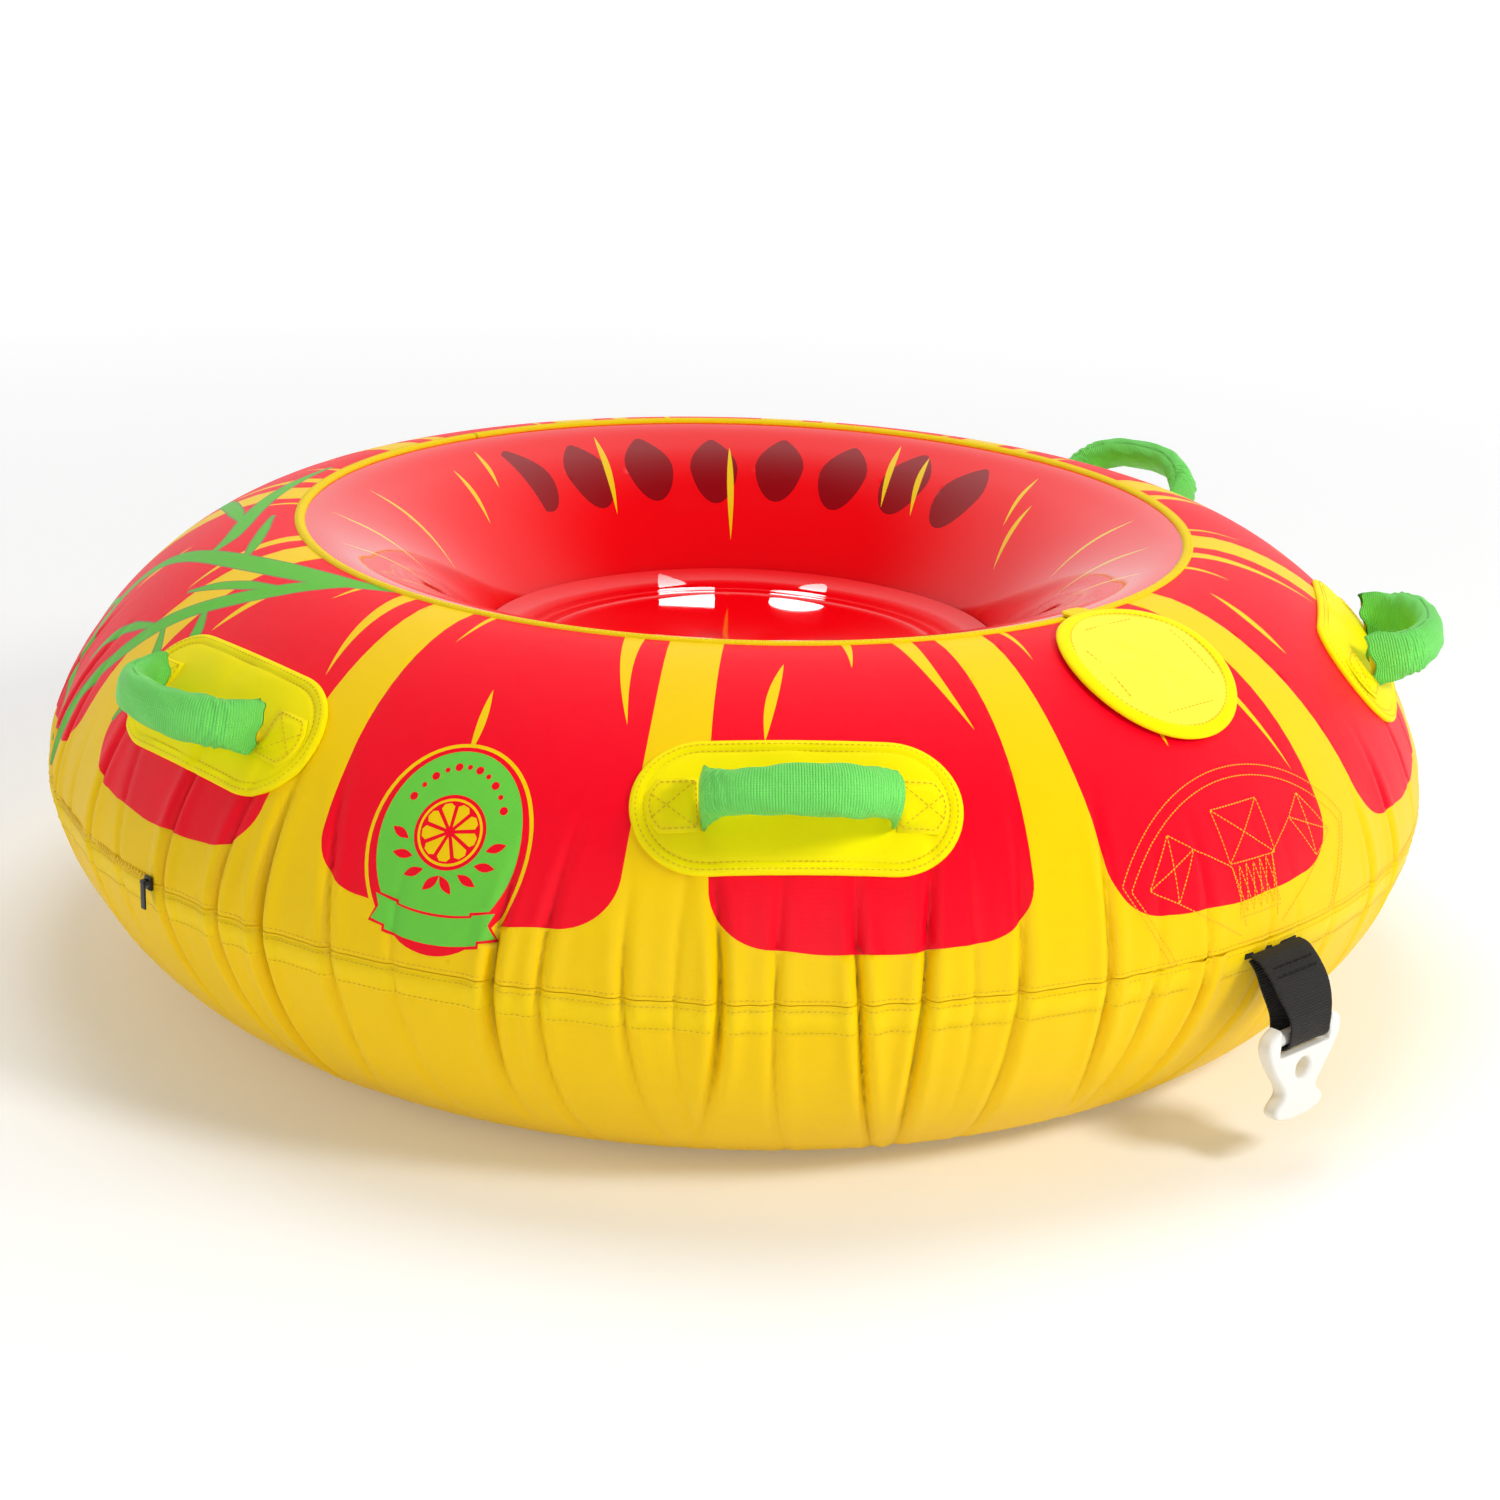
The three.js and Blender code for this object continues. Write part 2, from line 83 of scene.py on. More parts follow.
# What is sewn on the cover follows this share of its folds.
SEWN_ON = 0.6
# Radii by which angles round the ring become metres in flat patterns.
COVER_SPREAD, TAPE_SPREAD, WALL_SPREAD = 0.52, 0.50, 0.30


# ---------- the ring's section ----------
def section_table(count=700):
    """The cover's outline from the narrowest point of the hole, over the crest, to the flat base."""
    quarter = np.linspace(0, math.pi / 2, count)
    inner_r = CREST_RADIUS - (CREST_RADIUS - HOLE_RADIUS) * np.cos(quarter)
    inner_z = NARROWEST_Z + (CREST_Z - NARROWEST_Z) * np.sin(quarter)
    cos, sin = np.cos(quarter[::-1]), np.sin(quarter[::-1])
    top_r = CREST_RADIUS + (RING_RADIUS - CREST_RADIUS) * cos ** (2 / TOP_FULLNESS)
    top_z = WIDEST_Z + (CREST_Z - WIDEST_Z) * sin ** (2 / TOP_FULLNESS)
    cos, sin = np.cos(quarter), np.sin(quarter)
    low_r = BASE_OUTER + (RING_RADIUS - BASE_OUTER) * cos ** (2 / BOTTOM_FULLNESS)
    low_z = WIDEST_Z - WIDEST_Z * sin ** (2 / BOTTOM_FULLNESS)
    r = np.concatenate([inner_r, top_r[1:], low_r[1:], [0.0]])
    z = np.concatenate([inner_z, top_z[1:], low_z[1:], [0.0]])
    s = np.concatenate([[0], np.cumsum(np.hypot(np.diff(r), np.diff(z)))])
    s -= s[count - 1]
    return s, r, z, s[2 * count - 2], s[3 * count - 3]


SECTION_S, SECTION_R, SECTION_Z, SEAM_S, BASE_S = section_table()
WALL_S = SECTION_S[0]


def section(s):
    return np.interp(s, SECTION_S, SECTION_R), np.interp(s, SECTION_S, SECTION_Z)


def section_normal(s):
    step = 2 * MM
    r0, z0 = section(s - step)
    r1, z1 = section(s + step)
    length = np.maximum(np.hypot(r1 - r0, z1 - z0), 1e-9)
    return -(z1 - z0) / length, (r1 - r0) / length


# ---------- wrinkles ----------
def smooth(x, low, high):
    t = np.clip((x - low) / (high - low), 0, 1)
    return t * t * (3 - 2 * t)


def angle_gap(a, b):
    return (a - b + 180) % 360 - 180


def gathers():
    """Folds that cross the seam, where more cloth is sewn in than the ring's girth takes."""
    angle = -180.0
    while angle < 177:
        angle += random.uniform(3.0, 7.6)
        kind = random.random()
        if kind < 0.4:
            depth = random.uniform(11.0, 15.0)
        else:
            depth = random.uniform(5.0, 8.0) if kind < 0.75 else 2.5
        yield {
            "angle": angle,
            "depth": depth * MM,
            "above": random.uniform(0.06, 0.13),
            "below": random.uniform(0.09, 0.20),
            "lean": random.uniform(-0.9, 0.9),
            "curve": random.uniform(-0.8, 0.8),
            "width": random.uniform(1.5, 2.6) * MM,
        }


GATHERS = list(gathers())


def folds_near(a, from_seam):
    """Each fold's depth at the points, and their distance from its line along the ring."""
    for fold in GATHERS:
        reach = np.where(from_seam < 0, fold["above"], fold["below"])
        u = from_seam / 0.1
        gap = angle_gap(a, fold["angle"] + fold["lean"] * u + fold["curve"] * u * u)
        depth = fold["depth"] * np.exp(-((from_seam / reach) ** 2))
        yield fold, depth, np.abs(np.radians(gap)) * RING_RADIUS, u


def freedom(a, from_seam):
    """How freely the cloth folds: less over the tow strap's inner patch, which backs it above the seam."""
    return 1 - 0.72 * (1 - smooth(np.abs(a + 1), 11, 16)) * (1 - smooth(from_seam, 0.0, 0.04))


def puff(azimuth, s):
    """How far the fabric stands off the smooth section. Never far outwards, so it keeps the part's size."""
    a = np.degrees(azimuth)
    total = np.zeros_like(a * s)
    from_seam = s - SEAM_S
    for fold, depth, x, u in folds_near(a, from_seam):
        crease = np.exp(-x / (fold["width"] * (1 + 0.5 * np.abs(u))))
        shoulders = np.exp(-(((x - 10 * MM) / (7 * MM)) ** 2))
        total += depth * (0.26 * shoulders - crease)
    ripple = np.sin(np.radians(a * 23 + 60 * np.sin(np.radians(a * 3))) + 12 * s)
    ripple = ripple + 0.7 * np.sin(np.radians(a * 53 + 95 * np.sin(np.radians(a * 5))) - 10 * s)
    band = np.exp(-((from_seam / 0.06) ** 2))
    total += 0.5 * MM * ripple * band
    total -= 0.5 * MM * np.exp(-((from_seam / 0.004) ** 2))
    on_base = smooth(s, BASE_S - 0.05, BASE_S - 0.01)
    on_top = 1 - smooth(s, 0.14, 0.21)
    return total * (1 - on_base) * (1 - on_top) * freedom(a, from_seam)


def painted_fold_shade(azimuth, s):
    """How deep in a fold each point is, from 0 to 1, which the nylon turns into painted shade in its folds.
    """
    a = np.degrees(azimuth)
    total = np.zeros_like(a * s)
    from_seam = s - SEAM_S
    for fold, depth, x, _ in folds_near(a, from_seam):
        total += depth / (15 * MM) * np.exp(-x / (0.8 * fold["width"]))
    return np.clip(total * freedom(a, from_seam), 0, 1)


def cover_point(azimuth, s, lift=0.0, wrinkled=1.0):
    """Points on the cover, at angles round the ring (radians) and distances from the crest (metres)."""
    azimuth, s = np.asarray(azimuth, float), np.asarray(s, float)
    r, z = section(s)
    nr, nz = section_normal(s)
    off = lift + wrinkled * puff(azimuth, s)
    r, z = r + nr * off, z + nz * off
    return np.stack([r * np.cos(azimuth), r * np.sin(azimuth), z], -1)


def cover_normal(azimuth, s):
    nr, nz = section_normal(s)
    return np.stack([nr * np.cos(azimuth), nr * np.sin(azimuth), nz], -1)


def on_site(azimuth_deg, down, x, y):
    """The cover's coordinates under a point of a flat pattern on it: x along the ring, y up the slope."""
    r, _ = section(down - y)
    _, nz = section_normal(np.asarray(down, float))
    turn = np.arcsin(np.clip(x / r, -1, 1))
    return np.radians(azimuth_deg) + turn, down - y + r * (1 - np.cos(turn)) * nz


# ---------- materials ----------
def shader(name, color, roughness, **sockets):
    mat = bpy.data.materials.new(name)
    mat.use_nodes = True
    bsdf = mat.node_tree.nodes["Principled BSDF"]
    bsdf.inputs["Base Color"].default_value = (*color, 1)
    bsdf.inputs["Roughness"].default_value = roughness
    for socket, value in sockets.items():
        bsdf.inputs[socket.replace("_", " ")].default_value = value
    return mat, mat.node_tree, bsdf


def add(tree, kind, **values):
    node = tree.nodes.new(kind)
    for key, value in values.items():
        if key in node.inputs:
            node.inputs[key].default_value = value
        else:
            setattr(node, key, value)
    return node


def tinted(tree, bsdf, color, factor, low, high):
    """Colour variation: the base colour between two shades of itself, by a noise or wave."""
    ramp = add(tree, "ShaderNodeValToRGB")
    for element, shade in zip(ramp.color_ramp.elements, (low, high)):
        element.color = (*[min(c * shade, 1) for c in color], 1)
    tree.links.new(factor, ramp.inputs[0])
    tree.links.new(ramp.outputs[0], bsdf.inputs["Base Color"])


def bump(tree, bsdf, heights, distance):
    node = add(tree, "ShaderNodeBump", Strength=1.0, Distance=distance)
    total = heights[0]
    for height in heights[1:]:
        both = add(tree, "ShaderNodeMath", operation="ADD")
        tree.links.new(total, both.inputs[0])
        tree.links.new(height, both.inputs[1])
        total = both.outputs[0]
    tree.links.new(total, node.inputs["Height"])
    tree.links.new(node.outputs[0], bsdf.inputs["Normal"])


def coordinates(tree, scale=(1, 1, 1), kind="Object"):
    place = add(tree, "ShaderNodeTexCoord")
    mapping = add(tree, "ShaderNodeMapping")
    mapping.inputs["Scale"].default_value = scale
    tree.links.new(place.outputs[kind], mapping.inputs[0])
    return mapping.outputs[0]


def scaled(tree, node, vector, share):
    """A texture at the given coordinates, times a share."""
    tree.links.new(vector, node.inputs["Vector"])
    times = add(tree, "ShaderNodeMath", operation="MULTIPLY")
    times.inputs[1].default_value = share
    tree.links.new(node.outputs["Fac"], times.inputs[0])
    return times.outputs[0]


def noise(tree, vector, scale, detail=3.0, share=1.0):
    return scaled(tree, add(tree, "ShaderNodeTexNoise", Scale=scale, Detail=detail), vector, share)


def threads(tree, vector, pitch, direction, share=1.0):
    """Parallel threads: a wave of the given pitch in metres."""
    wave = add(tree, "ShaderNodeTexWave", wave_type="BANDS", bands_direction=direction, Scale=0.314 / pitch)
    return scaled(tree, wave, vector, share)


def plain_weave(tree, pitch, share):
    flat = coordinates(tree, kind="UV")
    return [threads(tree, flat, pitch, direction, share) for direction in "XY"]


def map_range(tree, value, source, target, **settings):
    """Takes a value from one range (low, high) to another."""
    node = add(tree, "ShaderNodeMapRange", **settings)
    for sockets, limits in ((("From Min", "From Max"), source), (("To Min", "To Max"), target)):
        for socket, limit in zip(sockets, limits):
            node.inputs[socket].default_value = limit
    tree.links.new(value, node.inputs["Value"])
    return node.outputs["Result"]


def nylon(name, color):
    """Coated pack cloth: satin, with a fine plain weave, a slight crumple, and painted shade that darkens it
    in its folds.
    """
    mat, tree, bsdf = shader(name, color, 0.43, Specular_IOR_Level=0.15)
    solid = coordinates(tree)
    crumple = noise(tree, solid, 55, 2.0, 0.9)
    bump(tree, bsdf, [*plain_weave(tree, 0.9 * MM, 0.10), crumple], 0.6 * MM)
    tinted(tree, bsdf, color, noise(tree, solid, 9, 4.0), 0.9, 1.0)
    # Painted shade: the base colour falls to 0.4 of itself where the fold attribute is deep.
    fold = add(tree, "ShaderNodeAttribute", attribute_name="fold").outputs["Fac"]
    shaded = add(tree, "ShaderNodeVectorMath", operation="SCALE")
    tree.links.new(bsdf.inputs["Base Color"].links[0].from_socket, shaded.inputs[0])
    tree.links.new(map_range(tree, fold, (0.1, 0.9), (1.0, 0.4)), shaded.inputs["Scale"])
    tree.links.new(shaded.outputs["Vector"], bsdf.inputs["Base Color"])
    return mat


def webbing(name, color, pitch, roughness, depth):
    """Woven tape: ribs across the tape and finer threads along it."""
    mat, tree, bsdf = shader(name, color, roughness, Specular_IOR_Level=0.25)
    flat = coordinates(tree, kind="UV")
    rib = threads(tree, flat, pitch, "X")
    fine = threads(tree, flat, pitch * 0.6, "Y", 0.4)
    bump(tree, bsdf, [rib, fine], depth * MM)
    tinted(tree, bsdf, color, rib, 0.84, 1.0)
    return mat


def padding(name, color):
    """Coated fabric over thin foam."""
    mat, tree, bsdf = shader(name, color, 0.55, Specular_IOR_Level=0.1)
    solid = coordinates(tree)
    bump(tree, bsdf, [*plain_weave(tree, 0.8 * MM, 0.12), noise(tree, solid, 70, 2.0, 0.7)], 0.35 * MM)
    tinted(tree, bsdf, color, noise(tree, solid, 30, 3.0), 0.93, 1.0)
    return mat


def vinyl(name, color, roughness=0.06):
    """Glossy PVC film, slightly uneven."""
    coat = {"Coat_Weight": 0.5, "Coat_Roughness": 0.03, "Coat_IOR": 1.45}
    mat, tree, bsdf = shader(name, color, roughness, Specular_IOR_Level=0.15, **coat)
    solid = coordinates(tree)
    bump(tree, bsdf, [noise(tree, solid, 5, 2.0)], 2.2 * MM)
    tinted(tree, bsdf, color, noise(tree, solid, 3, 2.0), 0.82, 1.0)
    return mat


def plastic(name, color, roughness, grain=0.1):
    mat, tree, bsdf = shader(name, color, roughness, Specular_IOR_Level=0.45)
    solid = coordinates(tree)
    bump(tree, bsdf, [noise(tree, solid, 900, 2.0, grain), noise(tree, solid, 60, 2.0, 0.4)], 0.15 * MM)
    tinted(tree, bsdf, color, noise(tree, solid, 40, 3.0), 0.95, 1.0)
    return mat


red_nylon = nylon("red_nylon", (1.0, 0.0, 0.016))
yellow_nylon = nylon("yellow_nylon", (1.0, 0.65, 0.0))
tape_nylon = nylon("tape_nylon", (1.0, 0.69, 0.0))
green_print = nylon("green_print", (0.12, 0.56, 0.035))
outline_print = nylon("outline_print", (0.22, 0.30, 0.10))
lime_print = nylon("lime_print", (0.16, 0.66, 0.06))
bright_yellow = padding("pad_fabric", (1.0, 0.84, 0.0))
light_yellow = padding("flap_fabric", (1.0, 0.88, 0.06))
yellow_tape = webbing("yellow_tape", (1.0, 0.72, 0.0), 1.6 * MM, 0.6, 0.25)
green_weave = webbing("green_weave", (0.22, 0.93, 0.16), 1.9 * MM, 0.4, 0.8)
black_weave = webbing("black_weave", (0.036, 0.033, 0.030), 2.1 * MM, 0.6, 1.3)
red_vinyl = vinyl("red_vinyl", (0.95, 0.0, 0.004))
dark_vinyl = vinyl("dark_print_behind_vinyl", (0.30, 0.0, 0.004))
yellow_vinyl = vinyl("yellow_print_on_vinyl", (0.93, 0.62, 0.0), 0.2)
ivory = plastic("ivory_plastic", (0.86, 0.85, 0.80), 0.34)
black = plastic("black_plastic", (0.015, 0.015, 0.015), 0.35)
rubber = plastic("grey_rubber", (0.05, 0.05, 0.05), 0.7, 0.4)
thread_yellow = plastic("yellow_thread", (0.80, 0.50, 0.0), 0.6)
thread_gold = plastic("gold_thread", (0.95, 0.50, 0.02), 0.6)
thread_black = plastic("black_thread", (0.012, 0.011, 0.010), 0.8)


# ---------- mesh helpers ----------
def piece(name, points, faces, materials, body, replaces=(), labels=None, uv=None, flat=False,
          fold=None):
    """A mesh object that rides on a body.

    labels gives each face's material, uv each point's place in metres, and fold how deep in a fold it is, for
    painted shade in the folds.
    """
    mesh = bpy.data.meshes.new(name)
    mesh.from_pydata([tuple(p) for p in points], [], [tuple(int(i) for i in f) for f in faces])
    for mat in materials:
        mesh.materials.append(mat)
    if labels is not None:
        mesh.polygons.foreach_set("material_index", np.asarray(labels, np.int32))
    if uv is not None:
        layer = mesh.uv_layers.new(name="flat")
        corners = np.zeros(len(mesh.loops), np.int32)
        mesh.loops.foreach_get("vertex_index", corners)
        layer.data.foreach_set("uv", np.asarray(uv, np.float32)[corners].ravel())
    mesh.polygons.foreach_set("use_smooth", np.full(len(mesh.polygons), not flat))
    mesh.validate()
    # The fold attribute drives the painted shade that darkens the nylon in its folds.
    if fold is not None:
        attribute = mesh.attributes.new("fold", "FLOAT", "POINT")
        attribute.data.foreach_set("value", np.asarray(fold, np.float32))
    obj = bpy.data.objects.new(name, mesh)
    bpy.context.scene.collection.objects.link(obj)
    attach(obj, body)
    if replaces:
        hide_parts(*replaces)
    return obj


def tube_faces(rows, columns):
    """Four-sided faces between rows of points, each row closed on itself."""
    return [
        (i + j, i + (j + 1) % columns, i + columns + (j + 1) % columns, i + columns + j)
        for i in range(0, (rows - 1) * columns, columns)
        for j in range(columns)
    ]


def turned(faces):
    """The same faces, seen from the other side."""
    return [tuple(face)[::-1] for face in faces]


def printed_sheet(outlines, azimuth_points, s_points, mean_radius, s_range):
    """Triangles of a sheet round the ring that follow the outlines printed on it.

    outlines is a list of (label, [(azimuth, s), ...]), and a later one covers an earlier one. Returns the
    azimuth, s, triangles and the label of each triangle.
    """
    half_turn = math.pi * mean_radius
    low, high = s_range
    corners = [(-half_turn, low), (half_turn, low), (half_turn, high), (-half_turn, high)]
    flat = [Vector((a * mean_radius, s)) for a, s in zip(azimuth_points, s_points)]
    edges = []
    shapes = [(label, [(a * mean_radius, s) for a, s in outline]) for label, outline in outlines]
    for _, ring in [(0, corners), *shapes]:
        start, count = len(flat), len(ring)
        flat += [Vector(p) for p in ring]
        edges += [(start + i, start + (i + 1) % count) for i in range(count)]
    points, _, faces, _, _, _ = delaunay_2d_cdt(flat, edges, [], 0, 1e-6)
    xy = np.array([(p.x, p.y) for p in points])
    faces = np.array(faces)
    middle = xy[faces].mean(1)
    inside = (np.abs(middle[:, 0]) < half_turn) & (middle[:, 1] > low) & (middle[:, 1] < high)
    faces, middle = faces[inside], middle[inside]
    labels = np.zeros(len(faces), np.int32)
    for label, ring in shapes:
        ring = np.array(ring)
        near = np.nonzero(((middle > ring.min(0)) & (middle < ring.max(0))).all(1))[0]
        labels[near[in_outline(middle[near], ring)]] = label
    used = np.unique(faces)
    renumber = np.zeros(len(xy), int)
    renumber[used] = np.arange(len(used))
    xy = xy[used]
    return xy[:, 0] / mean_radius, xy[:, 1], renumber[faces], labels


def in_outline(points, ring):
    """Which points lie inside a closed outline."""
    x, y = points[:, :1], points[:, 1:]
    x0, y0 = ring[:, 0], ring[:, 1]
    x1, y1 = np.roll(x0, -1), np.roll(y0, -1)
    crosses = (y0 > y) != (y1 > y)
    rise = np.where(np.abs(y1 - y0) < 1e-12, 1e-12, y1 - y0)
    return (crosses & (x < x0 + (y - y0) * (x1 - x0) / rise)).sum(1) % 2 == 1


def closed_round(azimuth, s, faces):
    """Joins the sheet's two ends, which are a full turn apart."""
    ring = {}
    target = np.arange(len(azimuth))
    for i in np.nonzero(azimuth < -math.pi + 1e-5)[0]:
        ring[round(s[i], 5)] = i
    for i in np.nonzero(azimuth > math.pi - 1e-5)[0]:
        target[i] = ring.get(round(s[i], 5), i)
    return [tuple(target[list(f)]) for f in faces]


# ---------- the print on the cover ----------
def rad(degrees):
    return math.radians(degrees)


def segment_outline(centre, number):
    """A red segment: straight sides that close in a little at the rim, and a bottom with round corners."""
    half = STRIPE_PITCH / 2 - STRIPE_HALF
    steps = 14
    round_angle, round_s = 4.6, 0.045
    bottom = SEGMENT_BOTTOM + 0.006 * math.sin(number * 2.4 + 1)
    points = []
    for i in range(steps + 1):
        t = i / steps
        points.append((-half - 0.5 * math.sin(math.pi * t), -0.02 + t * (bottom - round_s + 0.02)))
    for i in range(1, steps + 1):
        a = math.pi / 2 * i / steps
        points.append((-half + round_angle * (1 - math.cos(a)), bottom - round_s * (1 - math.sin(a))))
    jags = 16
    for i in range(1, jags):
        t = i / jags
        jag = 0.0006 * math.sin(7.3 * i + 2.1 * number) + 0.004 * math.sin(math.pi * t)
        points.append((-half + round_angle + 2 * t * (half - round_angle), bottom + jag))
    right = [(-a, s) for a, s in points[: 2 * steps + 1]][::-1]
    return [(rad(centre + a), s) for a, s in points + right]


def stroke(start, end, width, bend=0.0, pointed=False, steps=14):
    """A stroke between two (degrees, s) points, which tapers to its end, or to both ends if pointed."""
    (a0, s0), (a1, s1) = start, end
    left, right = [], []
    for i in range(steps + 1):
        t = i / steps
        a = a0 + (a1 - a0) * t + bend * math.sin(math.pi * t)
        s = s0 + (s1 - s0) * t
        swell = math.sin(math.pi * t) ** 0.9 if pointed else (1 - t) ** 0.85
        r = float(section(max(s, 0))[0])
        half = math.degrees(width * swell / 2 / r)
        left.append((rad(a - half), s))
        right.append((rad(a + half), s))
    return left + right[::-1]


def sweep_outline(path, widths):
    """A leaf or stem along a curved path of (degrees, s) points, with a width in metres at each point."""
    spine = np.array([(rad(a) * COVER_SPREAD, s) for a, s in path])
    t = np.linspace(0, len(path) - 1, 9 * (len(path) - 1) + 1)
    keys = np.arange(len(path))
    dense = np.stack([np.interp(t, keys, spine[:, k]) for k in range(2)], -1)
    for _ in range(24):
        dense[1:-1] = (dense[:-2] + 2 * dense[1:-1] + dense[2:]) / 4
    width = np.interp(t, keys, widths)
    along = np.gradient(dense, axis=0)
    along /= np.maximum(np.linalg.norm(along, axis=1, keepdims=True), 1e-9)
    side = np.stack([-along[:, 1], along[:, 0]], -1) * width[:, None] / 2
    ring = np.concatenate([dense + side, (dense - side)[::-1]])
    return [(x / COVER_SPREAD, min(y, SEAM_S - 1 * MM)) for x, y in ring]


def ellipse(centre_deg, centre_s, half_across, half_down, sides=64):
    result = []
    for i in range(sides):
        angle = 2 * math.pi * i / sides
        s = centre_s + half_down * math.sin(angle)
        result.append((rad(centre_deg) + half_across * math.cos(angle) / float(section(s)[0]), s))
    return result


COVER_PRINTS = [yellow_nylon, red_nylon, green_print, outline_print, lime_print]
YELLOW, RED, GREEN, OUTLINE, LIME = range(5)


def segment_strokes(number, centre):
    """Yellow strokes on a red segment: a long one from the rim beside its right edge, and two short ones."""
    half = STRIPE_PITCH / 2 - STRIPE_HALF
    shift = random.uniform(-0.4, 0.4)
    reach = 0.195 if number == 0 else 0.108
    yield stroke((centre + half - 4.0, -0.02), (centre + half - 1.5, reach + 0.02 * shift), 0.018, bend=-0.45)
    if number % 2:
        left = centre - half
        yield stroke((left + 6 + shift, 0.03), (left + 4, 0.115), 0.0085, -0.35, pointed=True)
        yield stroke((centre + 1.4 + shift, -0.02), (centre + 1.0, 0.036), 0.010, bend=0.2)
    else:
        yield stroke((centre - 2.5 + shift, 0.088), (centre - 2.0, 0.150), 0.0065, 0.15, pointed=True)
        yield stroke((centre - half + 2.6, -0.02), (centre - half + 2.2, 0.045), 0.007, bend=0.2)


def leaf_spray():
    """A plain sprig: a forked stem from the rim with pointed leaves, each with a thin outline under it."""
    shapes = [
        ([(-86, -0.014), (-92, 0.004), (-97, 0.016), (-104, 0.030), (-112, 0.052), (-120, 0.078),
          (-126, 0.110), (-128, 0.150), (-127, 0.190), (-123, 0.235), (-119, 0.290)],
         [4, 13, 21, 23, 21, 17, 14, 14, 16, 13, 1]),
        ([(-92, 0.004), (-96, 0.024), (-99, 0.046), (-103, 0.078), (-107, 0.108), (-110, 0.140),
          (-112, 0.175), (-114.5, 0.212), (-116, 0.255), (-117, 0.305)],
         [4, 15, 19, 18, 16, 17, 15, 13, 11, 1]),
        ([(-119, 0.074), (-121, 0.052), (-126, 0.040), (-133, 0.030), (-143, 0.020), (-153, 0.010)],
         [4, 15, 17, 15, 11, 1]),
        ([(-126, 0.040), (-133, 0.052), (-141, 0.075), (-148, 0.115), (-152, 0.165)], [2, 13, 14, 10, 1]),
        ([(-99, 0.046), (-105, 0.064), (-109, 0.082), (-112, 0.104)], [2, 11, 9, 1]),
        ([(-106, 0.100), (-102.5, 0.122), (-101, 0.150), (-101.5, 0.178)], [2, 11, 10, 1]),
        ([(-109, 0.136), (-105, 0.160), (-104, 0.190), (-105, 0.222)], [2, 11, 10, 1]),
        ([(-110, 0.140), (-115, 0.158), (-118, 0.182), (-119.5, 0.212)], [2, 10, 9, 1]),
        ([(-127, 0.170), (-132, 0.195), (-135, 0.230), (-136, 0.270)], [2, 11, 10, 1]),
        ([(-112, 0.050), (-116, 0.034), (-121, 0.022), (-127, 0.014)], [2, 10, 8, 1]),
    ]
    for grow, label in ((3.0, OUTLINE), (0.0, GREEN)):
        for path, widths in shapes:
            yield label, sweep_outline(path, [(w + grow) * MM for w in widths])


def on_badge(points):
    """Points of the badge's own drawing, in millimetres from its centre, as places on the cover."""
    r = float(section(BADGE_DOWN)[0])
    return [(rad(BADGE_AT) + x * MM / r, BADGE_DOWN + y * MM) for x, y in points]


def lens(base, tip, width):
    """A pointed leaf between two points."""
    x, y = tip[0] - base[0], tip[1] - base[1]
    length = math.hypot(x, y)
    steps = [k / 8 for k in range(9)]
    sides = []
    for sign, order in ((1, steps), (-1, steps[::-1])):
        for t in order:
            w = sign * width / 2 * math.sin(math.pi * t)
            sides.append((base[0] + x * t - y * w / length, base[1] + y * t + x * w / length))
    return sides


def polygon(centre, radius, sides):
    turns = [2 * math.pi * k / sides for k in range(sides)]
    return [(centre[0] + radius * math.cos(a), centre[1] + radius * math.sin(a)) for a in turns]


def badge():
    """An oval badge with a slice of citrus fruit, two sprigs and a plain ribbon on it, and no lettering."""
    yield YELLOW, ellipse(BADGE_AT, BADGE_DOWN, 0.0655, 0.0835)
    yield RED, ellipse(BADGE_AT, BADGE_DOWN, 0.0625, 0.0805)
    yield LIME, ellipse(BADGE_AT, BADGE_DOWN - 0.004, 0.0565, 0.073)
    dots = 11
    for i in range(dots):
        turn = rad(-150 + 120 * i / (dots - 1))
        size = 3.4 if i % 2 == 0 else 2.2
        yield RED, on_badge(polygon((44 * math.cos(turn), -4 + 60 * math.sin(turn)), size, 12))
    middle = (0, -12)
    for radius, label in ((29, RED), (26, YELLOW), (24, RED)):
        yield label, on_badge(polygon(middle, radius, 48))
    for i in range(9):
        a = 2 * math.pi * (i + 0.25) / 9
        wedge = [(4, a), (20, a - 0.27), (22.5, a - 0.12), (22.5, a + 0.12), (20, a + 0.27)]
        yield YELLOW, on_badge([(middle[0] + d * math.cos(b), middle[1] + d * math.sin(b)) for d, b in wedge])
    for side in (-1, 1):
        for k in range(4):
            turn, tip_turn = rad(18 + 24 * k), rad(4 + 24 * k)
            base = (side * 33 * math.cos(turn), middle[1] + 33 * math.sin(turn))
            tip = (side * 47 * math.cos(tip_turn), middle[1] + 47 * math.sin(tip_turn))
            yield RED, on_badge(lens(base, tip, 7))
    for grow, label in ((2.0, RED), (0, LIME)):
        for side in (-1, 1):
            tail = [(30 - grow, 46 - grow), (47 + grow, 42 - grow), (43 + grow, 51), (48 + grow, 61 + grow),
                    (30 - grow, 65 + grow)]
            yield label, on_badge([(side * x, y) for x, y in tail])
        upper = [(x, 51 - 5 * (x / 36) ** 2 - grow) for x in range(-36, 37, 4)]
        lower = [(x, 72 - 5 * (x / 36) ** 2 + grow) for x in range(36, -37, -4)]
        yield label, on_badge([(x * (1 + grow / 36), y) for x, y in upper + lower])


